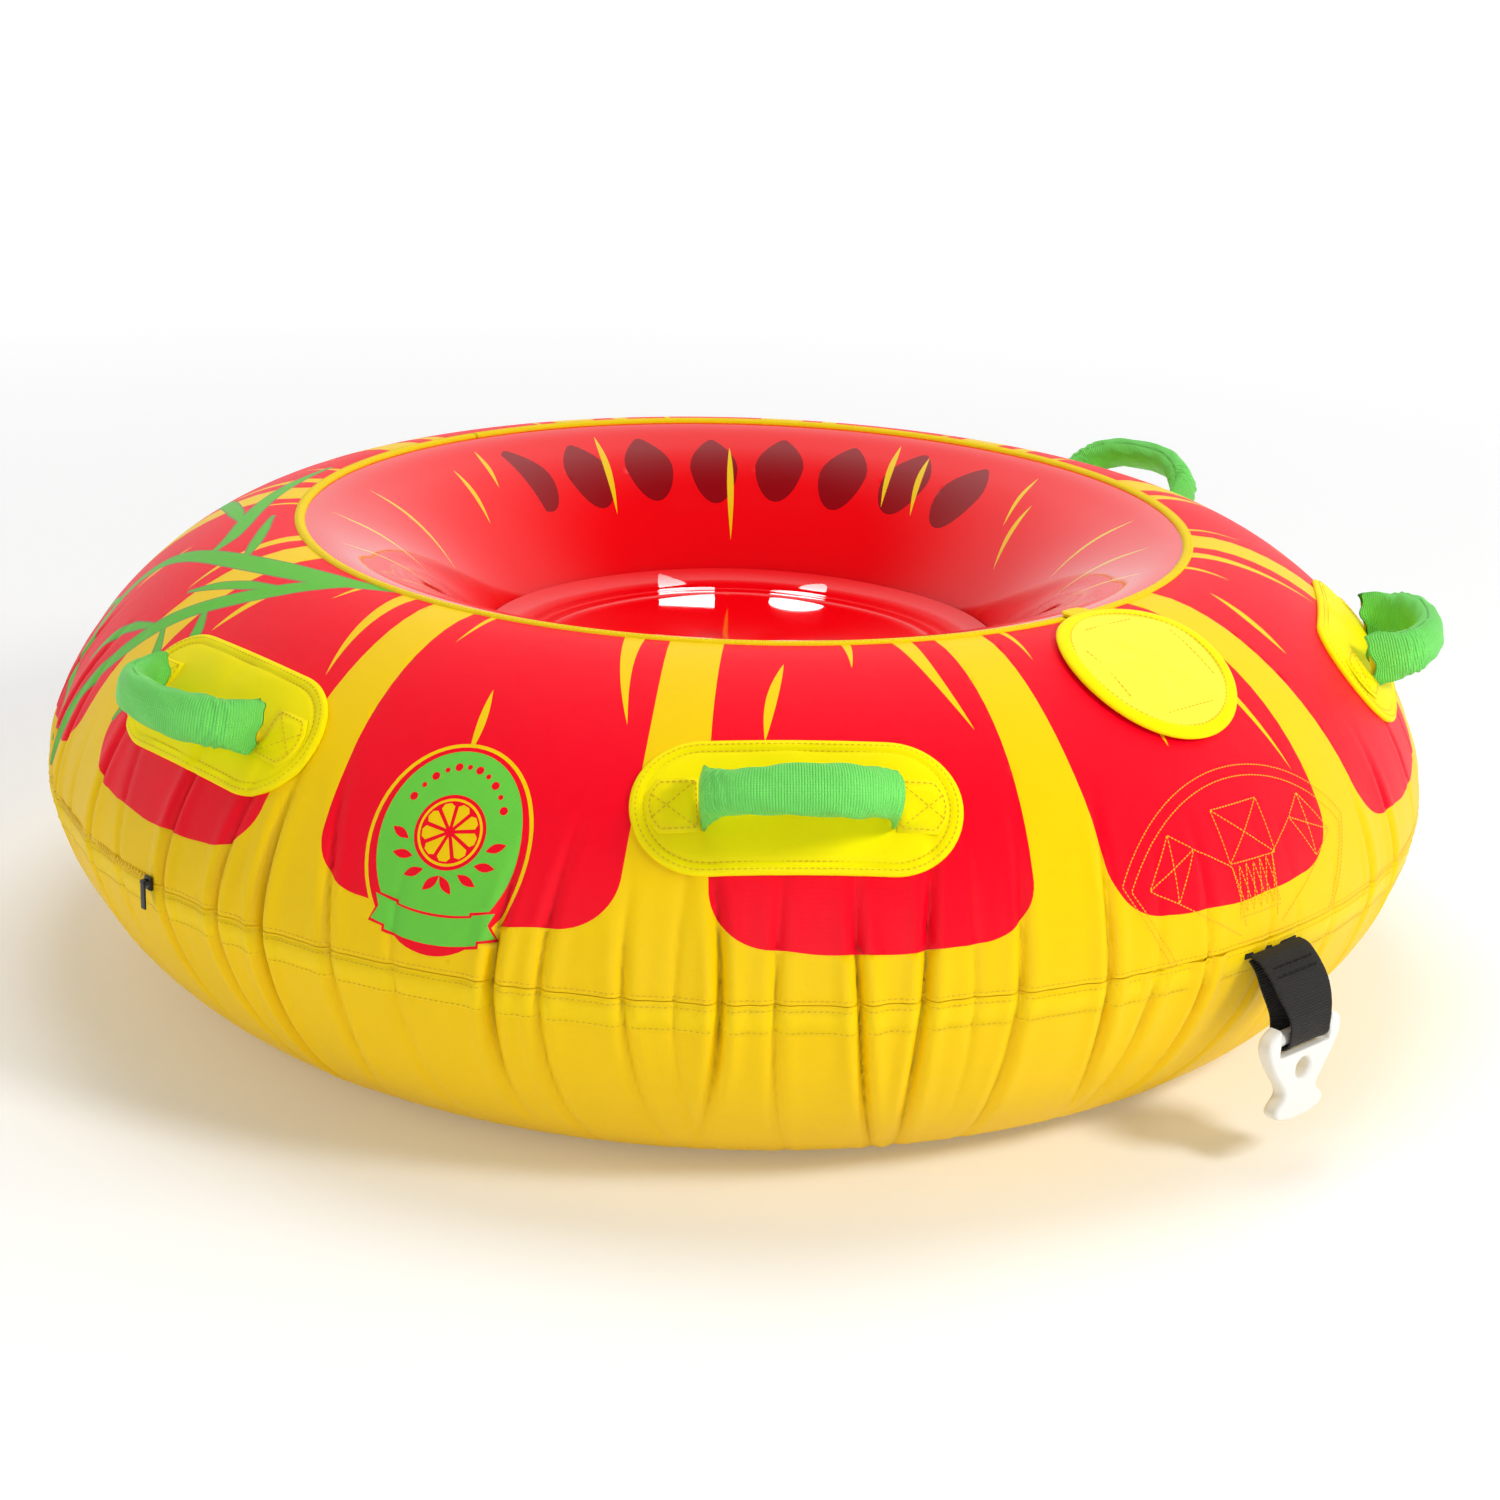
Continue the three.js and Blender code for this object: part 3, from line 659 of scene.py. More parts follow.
def cover_outlines():
    shapes, strokes = [], []
    for number in range(12):
        centre = angle_gap(FIRST_SEGMENT + STRIPE_PITCH * number, 0)
        shapes.append((RED, segment_outline(centre, number)))
        strokes += [(YELLOW, s) for s in segment_strokes(number, centre)]
    drawn = shapes + strokes + list(leaf_spray()) + list(badge())
    result = []
    for label, outline in drawn:
        result.append((label, outline))
        for turn in (-2 * math.pi, 2 * math.pi):
            again = [(a + turn, s) for a, s in outline]
            if min(a for a, _ in again) < math.pi and max(a for a, _ in again) > -math.pi:
                result.append((label, again))
    return result


def sheet_points(low, high, rows, count_at):
    """Points for a sheet round the ring: rows of them, with count_at(s) steps in each."""
    azimuths, downs = [], []
    for row in range(rows + 1):
        s = low + (high - low) * row / rows
        count = count_at(s)
        for i in range(count + 1):
            azimuths.append(-math.pi + 2 * math.pi * i / count)
            downs.append(s)
    return azimuths, downs


def cover_steps(s):
    """Finer round the ring near the seam, where the fabric gathers."""
    return int(520 + 1500 * (1 - min(abs(s - SEAM_S) / 0.16, 1)))


def make_cover_top():
    low, high = -8 * MM, SEAM_S - 0.3 * MM
    azimuths, downs = sheet_points(low, high, int((high - low) / (6.2 * MM)) + 1, cover_steps)
    azimuth, s, faces, labels = printed_sheet(cover_outlines(), azimuths, downs, COVER_SPREAD, (low, high))
    faces = turned(closed_round(azimuth, s, faces))
    uv = np.stack([azimuth * COVER_SPREAD, s], -1)
    piece("printed_cover", cover_point(azimuth, s), faces, COVER_PRINTS, "tube", ["cover_top"],
          labels, uv, fold=painted_fold_shade(azimuth, s))


def make_cover_bottom():
    low, high = SEAM_S + 0.3 * MM, SECTION_S[-1]
    side = low + (BASE_S - low) * np.linspace(0, 1, 38)
    base = BASE_S + (high - 0.02 - BASE_S) * np.linspace(0, 1, 9)[1:] ** 0.9
    downs = np.concatenate([side, base])
    count = 2000
    azimuth = np.linspace(0, 2 * math.pi, count, endpoint=False)
    a, s = np.meshgrid(azimuth, downs)
    a, s = a.ravel(), s.ravel()
    points = cover_point(a, s)
    ground = 0.2 * MM
    points[:, 2] = np.maximum(points[:, 2], ground)
    faces = tube_faces(len(downs), count)
    middle = len(points)
    points = np.vstack([points, [[0, 0, ground]]])
    last = middle - count
    faces += [(last + i, last + (i + 1) % count, middle) for i in range(count)]
    uv = np.vstack([np.stack([a * COVER_SPREAD, s], -1), [[0, high]]])
    piece("lower_cover", points, turned(faces), [yellow_nylon], "tube", ["cover_bottom"],
          uv=uv, fold=np.append(painted_fold_shade(a, s), 0))


# ---------- stitches and tapes ----------
def band(name, rows, start, mat, node, count):
    """A tape round the ring that follows the cover: rows of (down from start, lift) in millimetres."""
    azimuth = np.linspace(-math.pi, math.pi, count, endpoint=False)
    a, s = np.meshgrid(azimuth, [start + down * MM for down, _ in rows])
    a, s = a.ravel(), s.ravel()
    points = cover_point(a, s, np.repeat([lift * MM for _, lift in rows], count))
    piece(name, points, turned(tube_faces(len(rows), count)), [mat], "tube", [node],
          uv=np.stack([a * TAPE_SPREAD, s], -1), fold=painted_fold_shade(a, s))


def stitch_mesh(name, lines, mat, body, length=3.0 * MM, gap=1.4 * MM, width=0.9 * MM,
                height=0.45 * MM):
    """Sewn stitches along lines. Each line is a list of (point, outward direction)."""
    points, faces = [], []
    for line in lines:
        at = np.array([p for p, _ in line])
        out = np.array([n for _, n in line])
        steps = np.linalg.norm(np.diff(at, axis=0), axis=1)
        s = np.concatenate([[0], np.cumsum(steps)])
        count = max(int(s[-1] / (length + gap)), 1)
        pitch = s[-1] / count
        for i in range(count):
            ends = (i * pitch + gap / 2, (i + 1) * pitch - gap / 2)
            p0, p1 = [np.array([np.interp(e, s, at[:, k]) for k in range(3)]) for e in ends]
            n = np.array([np.interp(sum(ends) / 2, s, out[:, k]) for k in range(3)])
            n /= np.linalg.norm(n)
            along = (p1 - p0) / max(np.linalg.norm(p1 - p0), 1e-9)
            side = np.cross(n, along) * width / 2
            start = len(points)
            q0, q1 = p0 + along * 0.5 * MM, p1 - along * 0.5 * MM
            points += [p0, q0 + side, q0 + n * height, q0 - side, q1 + side, q1 + n * height, q1 - side, p1]
            for face in ((0, 1, 2), (0, 2, 3), (1, 4, 5, 2), (2, 5, 6, 3), (4, 7, 5), (5, 7, 6)):
                faces.append([start + k for k in face])
    piece(name, points, turned(faces), [mat], body)


def cover_line(pairs, lift, spacing=3 * MM):
    """A line on the cover through (azimuth radians, s) pairs, as points with outward directions."""
    pairs = np.array(pairs, float)
    r, _ = section(pairs[:, 1])
    seg = np.hypot(np.diff(pairs[:, 0]) * (r[1:] + r[:-1]) / 2, np.diff(pairs[:, 1]))
    s = np.concatenate([[0], np.cumsum(seg)])
    t = np.linspace(0, s[-1], max(int(s[-1] / spacing), 2))
    azimuth, down = np.interp(t, s, pairs[:, 0]), np.interp(t, s, pairs[:, 1])
    return list(zip(cover_point(azimuth, down, lift), cover_normal(azimuth, down)))


def make_tapes():
    rows = [(-13.5, -0.8), (-13, 1.0), (-11, 2.2), (-8.5, 2.6), (-6, 2.2), (-4.6, 1.2), (-4.2, -0.2)]
    band("rim_tape", rows, 0.0, yellow_tape, "rim_binding", 900)
    turn = np.linspace(-math.pi, math.pi, 240)
    rim_line = cover_line([(a, -6.6 * MM) for a in turn], 2.2 * MM)
    stitch_mesh("rim_stitches", [rim_line], thread_yellow, "tube")
    band("seam_tape", [(2, -0.3), (2.6, 0.35), (12, 0.45), (25, 0.35), (25.6, -0.3)],
         SEAM_S, tape_nylon, "seam_tape_outside", 2000)
    lines = [cover_line([(a, SEAM_S + down * MM) for a in turn], lift * MM)
             for down, lift in ((-3.5, 0.1), (4.6, 0.5), (23, 0.5))]
    stitch_mesh("seam_stitches", lines, thread_yellow, "tube")


# ---------- the air chamber and the floor ----------
BACK = 136.7


def pip(centre, down, width, height):
    """A pip: round below and pointed above."""
    points = []
    for i in range(28):
        a = 2 * math.pi * i / 28
        narrow = 1 - 0.55 * max(math.sin(a), 0) ** 1.5
        across = width / 2 * math.cos(a) * narrow
        points.append((rad(centre) + across / WALL_SPREAD, down + height / 2 * math.sin(a)))
    return points


def wall_outlines():
    """Dark pips that show through the vinyl at the rear, and yellow strokes printed on it all round."""
    printed, behind = 1, 2
    for number in range(8):
        turn = -42 + 12 * number
        yield behind, pip(BACK - turn, -0.094 - 0.004 * (number % 2), 0.046, 0.092)
    strokes = [(-3, 66, 118, 9, 0), (-25, 40, 112, 9, -2.5), (-47, 40, 60, 6, -3), (-55, 62, 75, 7, -4),
               (-76, 45, 115, 6, -6), (-92, 34, 100, 6, -6), (-108, 40, 110, 7, -3), (25, 38, 95, 8, 3),
               (31, 52, 85, 8, 4), (52, 45, 75, 6, 5), (58, 85, 80, 8, 6), (80, 40, 100, 6, 6),
               (95, 42, 95, 7, 4), (110, 38, 90, 7, 2), (128, 42, 100, 7, 1), (143, 38, 90, 7, 0),
               (160, 42, 100, 8, 0), (178, 40, 90, 7, 0), (197, 36, 100, 7, 0), (215, 40, 90, 7, 0),
               (234, 42, 95, 7, 0)]
    for turn, start, length, width, lean in strokes:
        begin, end = -start * MM, -(start + length) * MM
        place = BACK - turn
        yield printed, stroke((place, begin), (place - lean, end), width * MM, 0.12 * lean, pointed=True)


def make_bladder():
    low, high = WALL_S + 4 * MM, -8 * MM
    azimuths, downs = sheet_points(low, high, 33, lambda s: 360)
    outlines = []
    for label, outline in wall_outlines():
        middle = sum(a for a, _ in outline) / len(outline)
        turn = -2 * math.pi * round(middle / (2 * math.pi))
        outlines.append((label, [(a + turn, s) for a, s in outline]))
    azimuth, s, faces, labels = printed_sheet(outlines, azimuths, downs, WALL_SPREAD, (low, high))
    faces = turned(closed_round(azimuth, s, faces))
    points = cover_point(azimuth, s, -0.7 * MM - 2.5 * MM * smooth(-s, 0.02, 0.06), 0)
    uv = np.stack([azimuth * WALL_SPREAD, s], -1)
    piece("clear_vinyl_wall", points, faces, [red_vinyl, yellow_vinyl, dark_vinyl], "tube",
          ["bladder_inner_wall"], labels, uv)


def make_chamber():
    """The outer side of the air chamber and the seam's inner tape, well under the cover's folds."""
    rows, count = 40, 240
    down = np.linspace(6 * MM, SECTION_S[-1] - 0.25, rows)
    a, s = np.meshgrid(np.linspace(0, 2 * math.pi, count, endpoint=False), down)
    a, s = a.ravel(), s.ravel()
    points = cover_point(a, s, -0.9 * MM - 17 * MM * smooth(s, 0.02, 0.12), 0)
    piece("air_chamber", points, turned(tube_faces(rows, count)), [red_vinyl], "tube",
          ["bladder_outer_wall", "bladder_base"], uv=np.stack([a * TAPE_SPREAD, s], -1))
    rows = [(-14, -1.2), (0, -1.2), (14, -1.2)]
    band("inner_seam_tape", rows, SEAM_S, yellow_nylon, "seam_tape_inside", 1400)


def make_floor():
    """The floor sheet hangs a little in the middle and turns up into its weld at the wall."""
    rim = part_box("floor_panel")[1]
    full_radius = 0.236
    profile = [(0.004, -9.6), (0.05, -9.5), (0.10, -9.2), (0.14, -8.8), (0.17, -8.4), (0.183, -8.1),
               (0.1855, -7.0), (0.188, -8.0), (0.196, -7.7), (0.199, -6.5), (0.202, -7.4), (0.2095, -6.6),
               (0.2165, -4.9), (0.222, -3.2), (0.229, -0.4), (0.2335, 2.4)]
    count = 240
    azimuth = np.linspace(0, 2 * math.pi, count, endpoint=False)
    points = []
    for r, z in profile:
        for a in azimuth:
            wave = 0.5 * MM * math.sin(5 * a + 9 * r) * min(r / 0.1, 1)
            out = r / full_radius * rim.x
            points.append((out * math.cos(a), out * math.sin(a), rim.z + z * MM + wave))
    faces = tube_faces(len(profile), count)
    faces.append(tuple(range(count))[::-1])
    floor = piece("vinyl_floor", points, faces, [red_vinyl], "tube", ["floor_panel"],
                  uv=[(p[0], p[1]) for p in points])
    only_floor = bpy.data.collections.new("only_floor")
    only_floor.objects.link(floor)
    for light in ("window_left", "window_right"):
        bpy.data.objects[light].light_linking.receiver_collection = only_floor


# ---------- pads ----------
def stadium(length, width, count):
    """Points round a shape with half-circle ends, counter-clockwise, evenly spaced."""
    radius, straight = width / 2, length - width
    lap = straight + math.pi * radius
    points = []
    for i in range(count):
        sign, d = 1, 2 * lap * i / count
        if d >= lap:
            sign, d = -1, d - lap
        if d < straight:
            x, y = -straight / 2 + d, -radius
        else:
            a = (d - straight) / radius - math.pi / 2
            x, y = straight / 2 + radius * math.cos(a), radius * math.sin(a)
        points.append((sign * x, sign * y))
    return points


def inward(outline):
    """At each point of a flat closed outline, the direction into the shape."""
    along = np.roll(outline, -1, 0) - np.roll(outline, 1, 0)
    along /= np.linalg.norm(along, axis=1, keepdims=True)
    return np.stack([-along[:, 1], along[:, 0]], -1)


def ring_line(outline, inset):
    """A closed line at a distance inside an outline."""
    ring = np.array(outline) + inward(np.array(outline)) * inset
    return np.vstack([ring, ring[:1]])


def laid(flat, azimuth_deg, down, lift):
    """Where the points of a flat pattern come to lie on the cover."""
    flat = np.asarray(flat, float)
    return cover_point(*on_site(azimuth_deg, down, flat[:, 0], flat[:, 1]), lift, SEWN_ON)


def site_line(points, azimuth_deg, down, lift, spacing=2.5 * MM):
    """A line of a flat pattern laid on the cover, as points with outward directions."""
    flat = np.array(points, float)
    seg = np.linalg.norm(np.diff(flat, axis=0), axis=1)
    s = np.concatenate([[0], np.cumsum(seg)])
    t = np.linspace(0, s[-1], max(int(s[-1] / spacing), 2))
    x, y = np.interp(t, s, flat[:, 0]), np.interp(t, s, flat[:, 1])
    a, d = on_site(azimuth_deg, down, x, y)
    return list(zip(cover_point(a, d, lift, SEWN_ON), cover_normal(a, d)))


def sewn_pad(name, outline, azimuth_deg, down, profile, mats, body, replaces, wave, inner_from=math.inf):
    """A pad from its outline inwards.

    profile is a list of (distance inside the edge, lift) in millimetres. From inner_from on it has its second
    material.
    """
    outline = np.array(outline)
    deepest = np.abs(outline[:, 1]).max() * 0.96
    rows, flat = [], []
    for inset, lift in profile:
        ring = outline + inward(outline) * min(inset * MM, deepest)
        phase = np.arctan2(ring[:, 1], ring[:, 0])
        soft = wave * MM * np.sin(5 * phase + azimuth_deg) * min(inset / 10, 1)
        rows.append(laid(ring, azimuth_deg, down, lift * MM + soft))
        flat.append(ring)
    count = len(outline)
    faces = tube_faces(len(rows), count)
    labels = [int(profile[i // count + 1][0] >= inner_from) for i in range(len(faces))]
    last = (len(rows) - 1) * count
    faces.append(tuple(range(last, last + count)))
    labels.append(labels[-1])
    return piece(name, np.vstack(rows), faces, mats, body, replaces, labels, np.vstack(flat))


# ---------- handles ----------
def superellipse_loop(t):
    a = math.pi * (1 - t)
    reach = lambda c: math.copysign(abs(c) ** 0.8, c)
    return LOOP_SPAN / 2 * reach(math.cos(a)), LOOP_RISE * reach(math.sin(a))


def make_handle(name):
    joint = joints[f"handle_{name}_swing"]
    root, across = Vector(joint["pos_m"]), Vector(joint["axis"]).normalized()
    azimuth_deg = math.degrees(math.atan2(root.y, root.x))
    low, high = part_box(f"handle_sleeve_{name}")
    to_middle = (low + high) / 2 - root
    up = (to_middle - across * to_middle.dot(across)).normalized()
    side = up.cross(across)

    outline = stadium(PAD_LENGTH, PAD_WIDTH, 128)
    profile = [(0, 0.3), (-0.4, 2.0), (0.6, 3.6), (2.5, 4.4), (6, 4.6), (8.4, 4.1), (9.6, 3.2), (11, 3.9),
               (14, 4.3), (17, 4.5), (24, 4.7), (34, 4.8), (49, 4.8)]
    pad = sewn_pad(f"grip_pad_{name}", outline, azimuth_deg, HANDLE_DOWN, profile, [bright_yellow], "tube",
                   [f"handle_pad_{name}"], wave=0.6)

    lines = [site_line(ring_line(outline, inset * MM), azimuth_deg, HANDLE_DOWN, lift * MM)
             for inset, lift in ((4.2, 4.6), (9.6, 3.4))]
    inner, outer, half = LOOP_SPAN / 2 + 1 * MM, LOOP_SPAN / 2 + 40 * MM, 21 * MM
    patch = [(inner, -half), (outer - 9 * MM, -half), (outer - 2 * MM, -half / 2), (outer, 0),
             (outer - 2 * MM, half / 2), (outer - 9 * MM, half), (inner, half)]
    count = len(patch)
    for end, sign in (("a", -1), ("b", 1)):
        sewn = np.array(patch) * sign
        middle = np.array((sign * (inner + outer) / 2, 0))
        layers = [laid(middle + (sewn - middle) * k, azimuth_deg, HANDLE_DOWN, lift * MM)
                  for k, lift in ((1.0, 4.6), (0.97, 6.1), (0.5, 6.6))]
        faces = tube_faces(3, count) + [tuple(range(2 * count, 3 * count))]
        piece(f"sewn_end_{name}_{end}", np.vstack(layers), faces, [bright_yellow], "tube",
              [f"handle_anchor_{name}_{end}"], uv=np.tile(sewn, (3, 1)))
        inset = middle + (sewn - middle) * 0.86
        lines.append(site_line([*inset, inset[0]], azimuth_deg, HANDLE_DOWN, 6.4 * MM))
        for c0, c1 in ((0, 4), (6, 2)):
            lines.append(site_line([inset[c0], inset[c1]], azimuth_deg, HANDLE_DOWN, 6.5 * MM))
    stitch_mesh(f"pad_stitches_{name}", lines, thread_yellow, "tube")
    make_sleeve(name, root, across, up, side)


def make_sleeve(name, root, across, up, side):
    """The green sleeve: round over its foam, flat and open at both ends, puckered inside its bends."""

    def on_loop(u, step):
        """A place on the loop and the loop's direction there."""
        x, y = superellipse_loop(u)
        x1, y1 = superellipse_loop(min(u + step, 0.999))
        x0, y0 = superellipse_loop(max(u - step, 0.001))
        return root + across * x + up * y, (across * (x1 - x0) + up * (y1 - y0)).normalized()

    rows, around = 150, 56
    variety = sum(ord(c) for c in name)
    girth = 0.1
    points, uv = [], []
    length = 0.0
    previous = None
    for i in range(rows + 1):
        t = i / rows
        centre, tangent = on_loop(0.024 + 0.952 * t, 0.004)
        normal = side.cross(tangent).normalized()
        if previous is not None:
            length += (centre - previous).length
        previous = centre
        end = min(t, 1 - t) * 2
        full = float(smooth(np.array(end), 0.0, 0.34))
        half_wide = (23 - 5.2 * full + 1.5 * math.sin(9 * t + variety)) * MM
        half_thick = (3.8 + 7.9 * full) * MM
        square = 1.0 - 0.25 * full
        bend = float(np.exp(-((end - 0.36) / 0.13) ** 2))
        for k in range(around):
            a = 2 * math.pi * k / around
            c, s = math.cos(a), math.sin(a)
            wide = half_wide * math.copysign(abs(c) ** square, c)
            thick = half_thick * math.copysign(abs(s) ** square, s)
            deep = 0.9 * bend * (0.35 + max(-s, 0)) * MM
            pucker = deep * math.sin(t * 150 + 3 * math.sin(a * 2 + variety))
            slack = 0.8 * MM * math.sin(13 * t + 2 * a + variety) * math.sin(3 * a + 31 * t)
            grow = 1 + (pucker + slack) / (15 * MM)
            ragged = 2.2 * math.sin(3 * a + variety) + 1.2 * math.sin(7 * a + 2 * variety)
            ragged *= MM * max(0, 1 - end / 0.12) * (1 if t < 0.5 else -1)
            points.append(centre + side * wide * grow + normal * thick * grow + tangent * ragged)
            uv.append((length, k / around * girth))
    faces = tube_faces(rows + 1, around)
    last = rows * around
    inner = len(points)
    for row in (4, rows - 4):
        ring = points[row * around : (row + 1) * around]
        centre = sum(ring, Vector()) / around
        points += [p + (centre - p) * 0.16 for p in ring]
        uv += [(0, k / around * girth) for k in range(around)]
    for k in range(around):
        beside = (k + 1) % around
        faces.append((k, inner + k, inner + beside, beside))
        faces.append((last + k, last + beside, inner + around + beside, inner + around + k))
    faces += [tuple(range(inner, inner + around)), tuple(range(inner + around, inner + 2 * around))[::-1]]
    sleeve = piece(f"grip_sleeve_{name}", points, faces, [green_weave], f"handle_{name}",
                   [f"handle_sleeve_{name}", f"handle_core_{name}"], uv=uv)

    steps = 40
    ribbon, ribbon_uv = [], []
    for i in range(steps + 1):
        place, tangent = on_loop(0.02 + 0.96 * i / steps, 0.01)
        for w, h in ((-12.5, -0.9), (12.5, -0.9), (12.5, 0.9), (-12.5, 0.9)):
            ribbon.append(place + side * w * MM + side.cross(tangent) * h * MM)
            ribbon_uv.append((i * 5 * MM, w * MM))
    last = 4 * steps
    faces = tube_faces(steps + 1, 4) + [(0, 1, 2, 3), (last + 3, last + 2, last + 1, last)]
    piece(f"grip_webbing_{name}", ribbon, faces, [yellow_tape], f"handle_{name}",
          [f"handle_webbing_{name}"], uv=ribbon_uv, flat=True)


# ---------- valve flap ----------
def make_flap():
    sides = 96
    circle = np.array(polygon((0, 0), FLAP_RADIUS, sides))
    profile = [(0.5, 3.2), (-0.3, 4.6), (0.8, 6.2), (3, 7.0), (8, 7.2), (10.6, 6.8), (11.4, 5.9), (13, 5.8),
               (20, 6.4), (32, 7.2), (50, 7.4), (66, 7.4)]
    flap = sewn_pad("flap_panel", circle, FLAP_ANGLE, FLAP_DOWN, profile, [bright_yellow, light_yellow],
                    "valve_flap", ["valve_flap", "flap_binding"], wave=0.5, inner_from=11.4)

    under = ring_line(circle, 0.4 * MM)[:-1]
    flats = [under * k for k in (1, 0.8, 0.6, 0.4, 0.2, 0.02)]
    rows = [laid(flat, FLAP_ANGLE, FLAP_DOWN, 3.2 * MM) for flat in flats]
    middle = tuple(range((len(rows) - 1) * sides, len(rows) * sides))
    piece("flap_underside", np.vstack(rows), turned(tube_faces(len(rows), sides) + [middle]), [bright_yellow],
          "valve_flap", uv=np.vstack(flats))

    lines = [site_line(ring_line(circle, 10.9 * MM), FLAP_ANGLE, FLAP_DOWN, 6.7 * MM)]
    for turn in range(4):
        c, s = math.cos(turn * math.pi / 2), math.sin(turn * math.pi / 2)
        chord = [(x * c - y * s, x * s + y * c) for x, y in ((-27 * MM, 49 * MM), (27 * MM, 49 * MM))]
        lines.append(site_line(chord, FLAP_ANGLE, FLAP_DOWN, 7.0 * MM))
    stitch_mesh("flap_stitches", lines, thread_yellow, "valve_flap")

    tab = [(-12, 72), (12, 72), (12.5, 84), (9, 89), (0, 90), (-9, 89), (-12.5, 84)]
    flats = [np.array([(x * k, 80 + (y - 80) * k) for x, y in tab]) * MM for k in (1.0, 1.0, 0.9)]
    rows = [laid(flat, FLAP_ANGLE, FLAP_DOWN, lift * MM) for flat, lift in zip(flats, (3.4, 5.4, 6.2))]
    faces = tube_faces(3, 7) + [tuple(range(14, 21)), tuple(range(7))[::-1]]
    piece("pull_tab", np.vstack(rows), faces, [yellow_tape], "valve_flap", ["flap_pull_tab"],
          uv=np.vstack(flats), flat=True)


# ---------- the tow strap and hook ----------
def strap_line():
    """The strap's centreline in the XZ plane: out of the slot, round the hook's bar and back."""
    joint, hook = joints["tow_strap_swing"], joints["tow_hook_swing"]
    x0, z0 = joint["pos_m"][0], joint["pos_m"][2]
    bar_x, bar_z = hook["pos_m"][0], hook["pos_m"][2]
    out, drop, bend = bar_x - x0, z0 - bar_z, 7.7 * MM
    front = [(0, 1.6 * MM), (11 * MM, -1 * MM), (27 * MM, -17 * MM), (out + bend - 1 * MM, -38 * MM)]
    arc = [(out + bend * math.cos(rad(a)), -drop - bend * math.sin(rad(a))) for a in (0, 45, 90, 135, 180)]
    back = [(out - bend - 3 * MM, -38 * MM), (9 * MM, -12 * MM), (0, -1.8 * MM)]
    keys = np.array(front + arc + back)
    count = 16
    result = []
    for i in range(len(keys) - 1):
        p0, p1, p2, p3 = keys[max(i - 1, 0)], keys[i], keys[i + 1], keys[min(i + 2, len(keys) - 1)]
        for k in range(count):
            t = k / count
            result.append(0.5 * (2 * p1 + (p2 - p0) * t + (2 * p0 - 5 * p1 + 4 * p2 - p3) * t * t
                                 + (3 * p1 - p0 - 3 * p2 + p3) * t ** 3))
    result.append(keys[-1])
    return np.array(result) + np.array([x0, z0])


def make_strap():
    line = strap_line()
    along = np.gradient(line, axis=0)
    along /= np.linalg.norm(along, axis=1, keepdims=True)
    normal = np.stack([-along[:, 1], along[:, 0]], -1)
    s = np.concatenate([[0], np.cumsum(np.linalg.norm(np.diff(line, axis=0), axis=1))])
    top_z = line[0, 1]
    section_count = 26
    points, uv = [], []
    for i, (x, z) in enumerate(line):
        gathered = float(smooth(np.array(top_z - z), 0.018, 0.05))
        half = (TOW_WIDTH + (TOW_WIDTH_AT_HOOK - TOW_WIDTH) * gathered) / 2
        for k in range(section_count):
            a = 2 * math.pi * k / section_count
            c, w = math.cos(a), math.sin(a)
            y = half * math.copysign(abs(c) ** 0.25, c)
            thick = 1.35 * MM * math.copysign(abs(w) ** 0.5, w)
            cup = gathered * 1.6 * MM * (y / half) ** 2
            n = normal[i] * (thick + cup)
            points.append((x + n[0], y, z + n[1]))
            uv.append((s[i], y))
    faces = tube_faces(len(line), section_count)
    faces += [tuple(range(section_count))[::-1], tuple(range(len(points) - section_count, len(points)))]
    piece("tow_strap_webbing", points, faces, [black_weave], "tow_strap", ["tow_webbing_loop"],
          uv=uv)
    zigzag = []
    for row in range(2):
        path = []
        for k in range(27):
            y = -0.024 + 0.048 * k / 26
            index = 21 + row * 5 + (2 if k % 2 else 0)
            x, z = line[index] + normal[index] * 1.5 * MM
            path.append(((x, y, z), (normal[index][0], 0, normal[index][1])))
        zigzag.append(path)
    stitch_mesh("tow_bar_stitch", zigzag, thread_black, "tow_strap", 2.4 * MM, 0.5 * MM,
                1.1 * MM, 0.7 * MM)


def cad_copy(name, node, dissolve=False):
    """A new object with the mesh of a CAD node, its doubled corners merged."""
    mesh = frame["nodes"][node].data.copy()
    build = bmesh.new()
    build.from_mesh(mesh)
    bmesh.ops.remove_doubles(build, verts=build.verts, dist=1e-5)
    if dissolve:
        bmesh.ops.dissolve_limit(build, angle_limit=rad(2), verts=build.verts, edges=build.edges)
    build.to_mesh(mesh)
    build.free()
    obj = bpy.data.objects.new(name, mesh)
    bpy.context.scene.collection.objects.link(obj)
    return obj


def apply_modifiers(obj, mat):
    bpy.context.view_layer.update()
    graph = bpy.context.evaluated_depsgraph_get()
    mesh = bpy.data.meshes.new_from_object(obj.evaluated_get(graph))
    obj.modifiers.clear()
    obj.data = mesh
    mesh.materials.clear()
    mesh.materials.append(mat)
    mesh.polygons.foreach_set("use_smooth", np.full(len(mesh.polygons), True))


def make_hook():
    """The hook: one smooth moulded plate, thick and round-edged, with a bar between two lobes."""
    obj = cad_copy("moulded_hook", "tow_hook")
    remesh = obj.modifiers.new("even", "REMESH")
    remesh.mode = "VOXEL"
    remesh.voxel_size = 0.9 * MM
    soften = obj.modifiers.new("soften", "SMOOTH")
    soften.factor = 0.5
    soften.iterations = 14
    apply_modifiers(obj, ivory)
    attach(obj, "tow_hook")
    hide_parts("tow_hook")


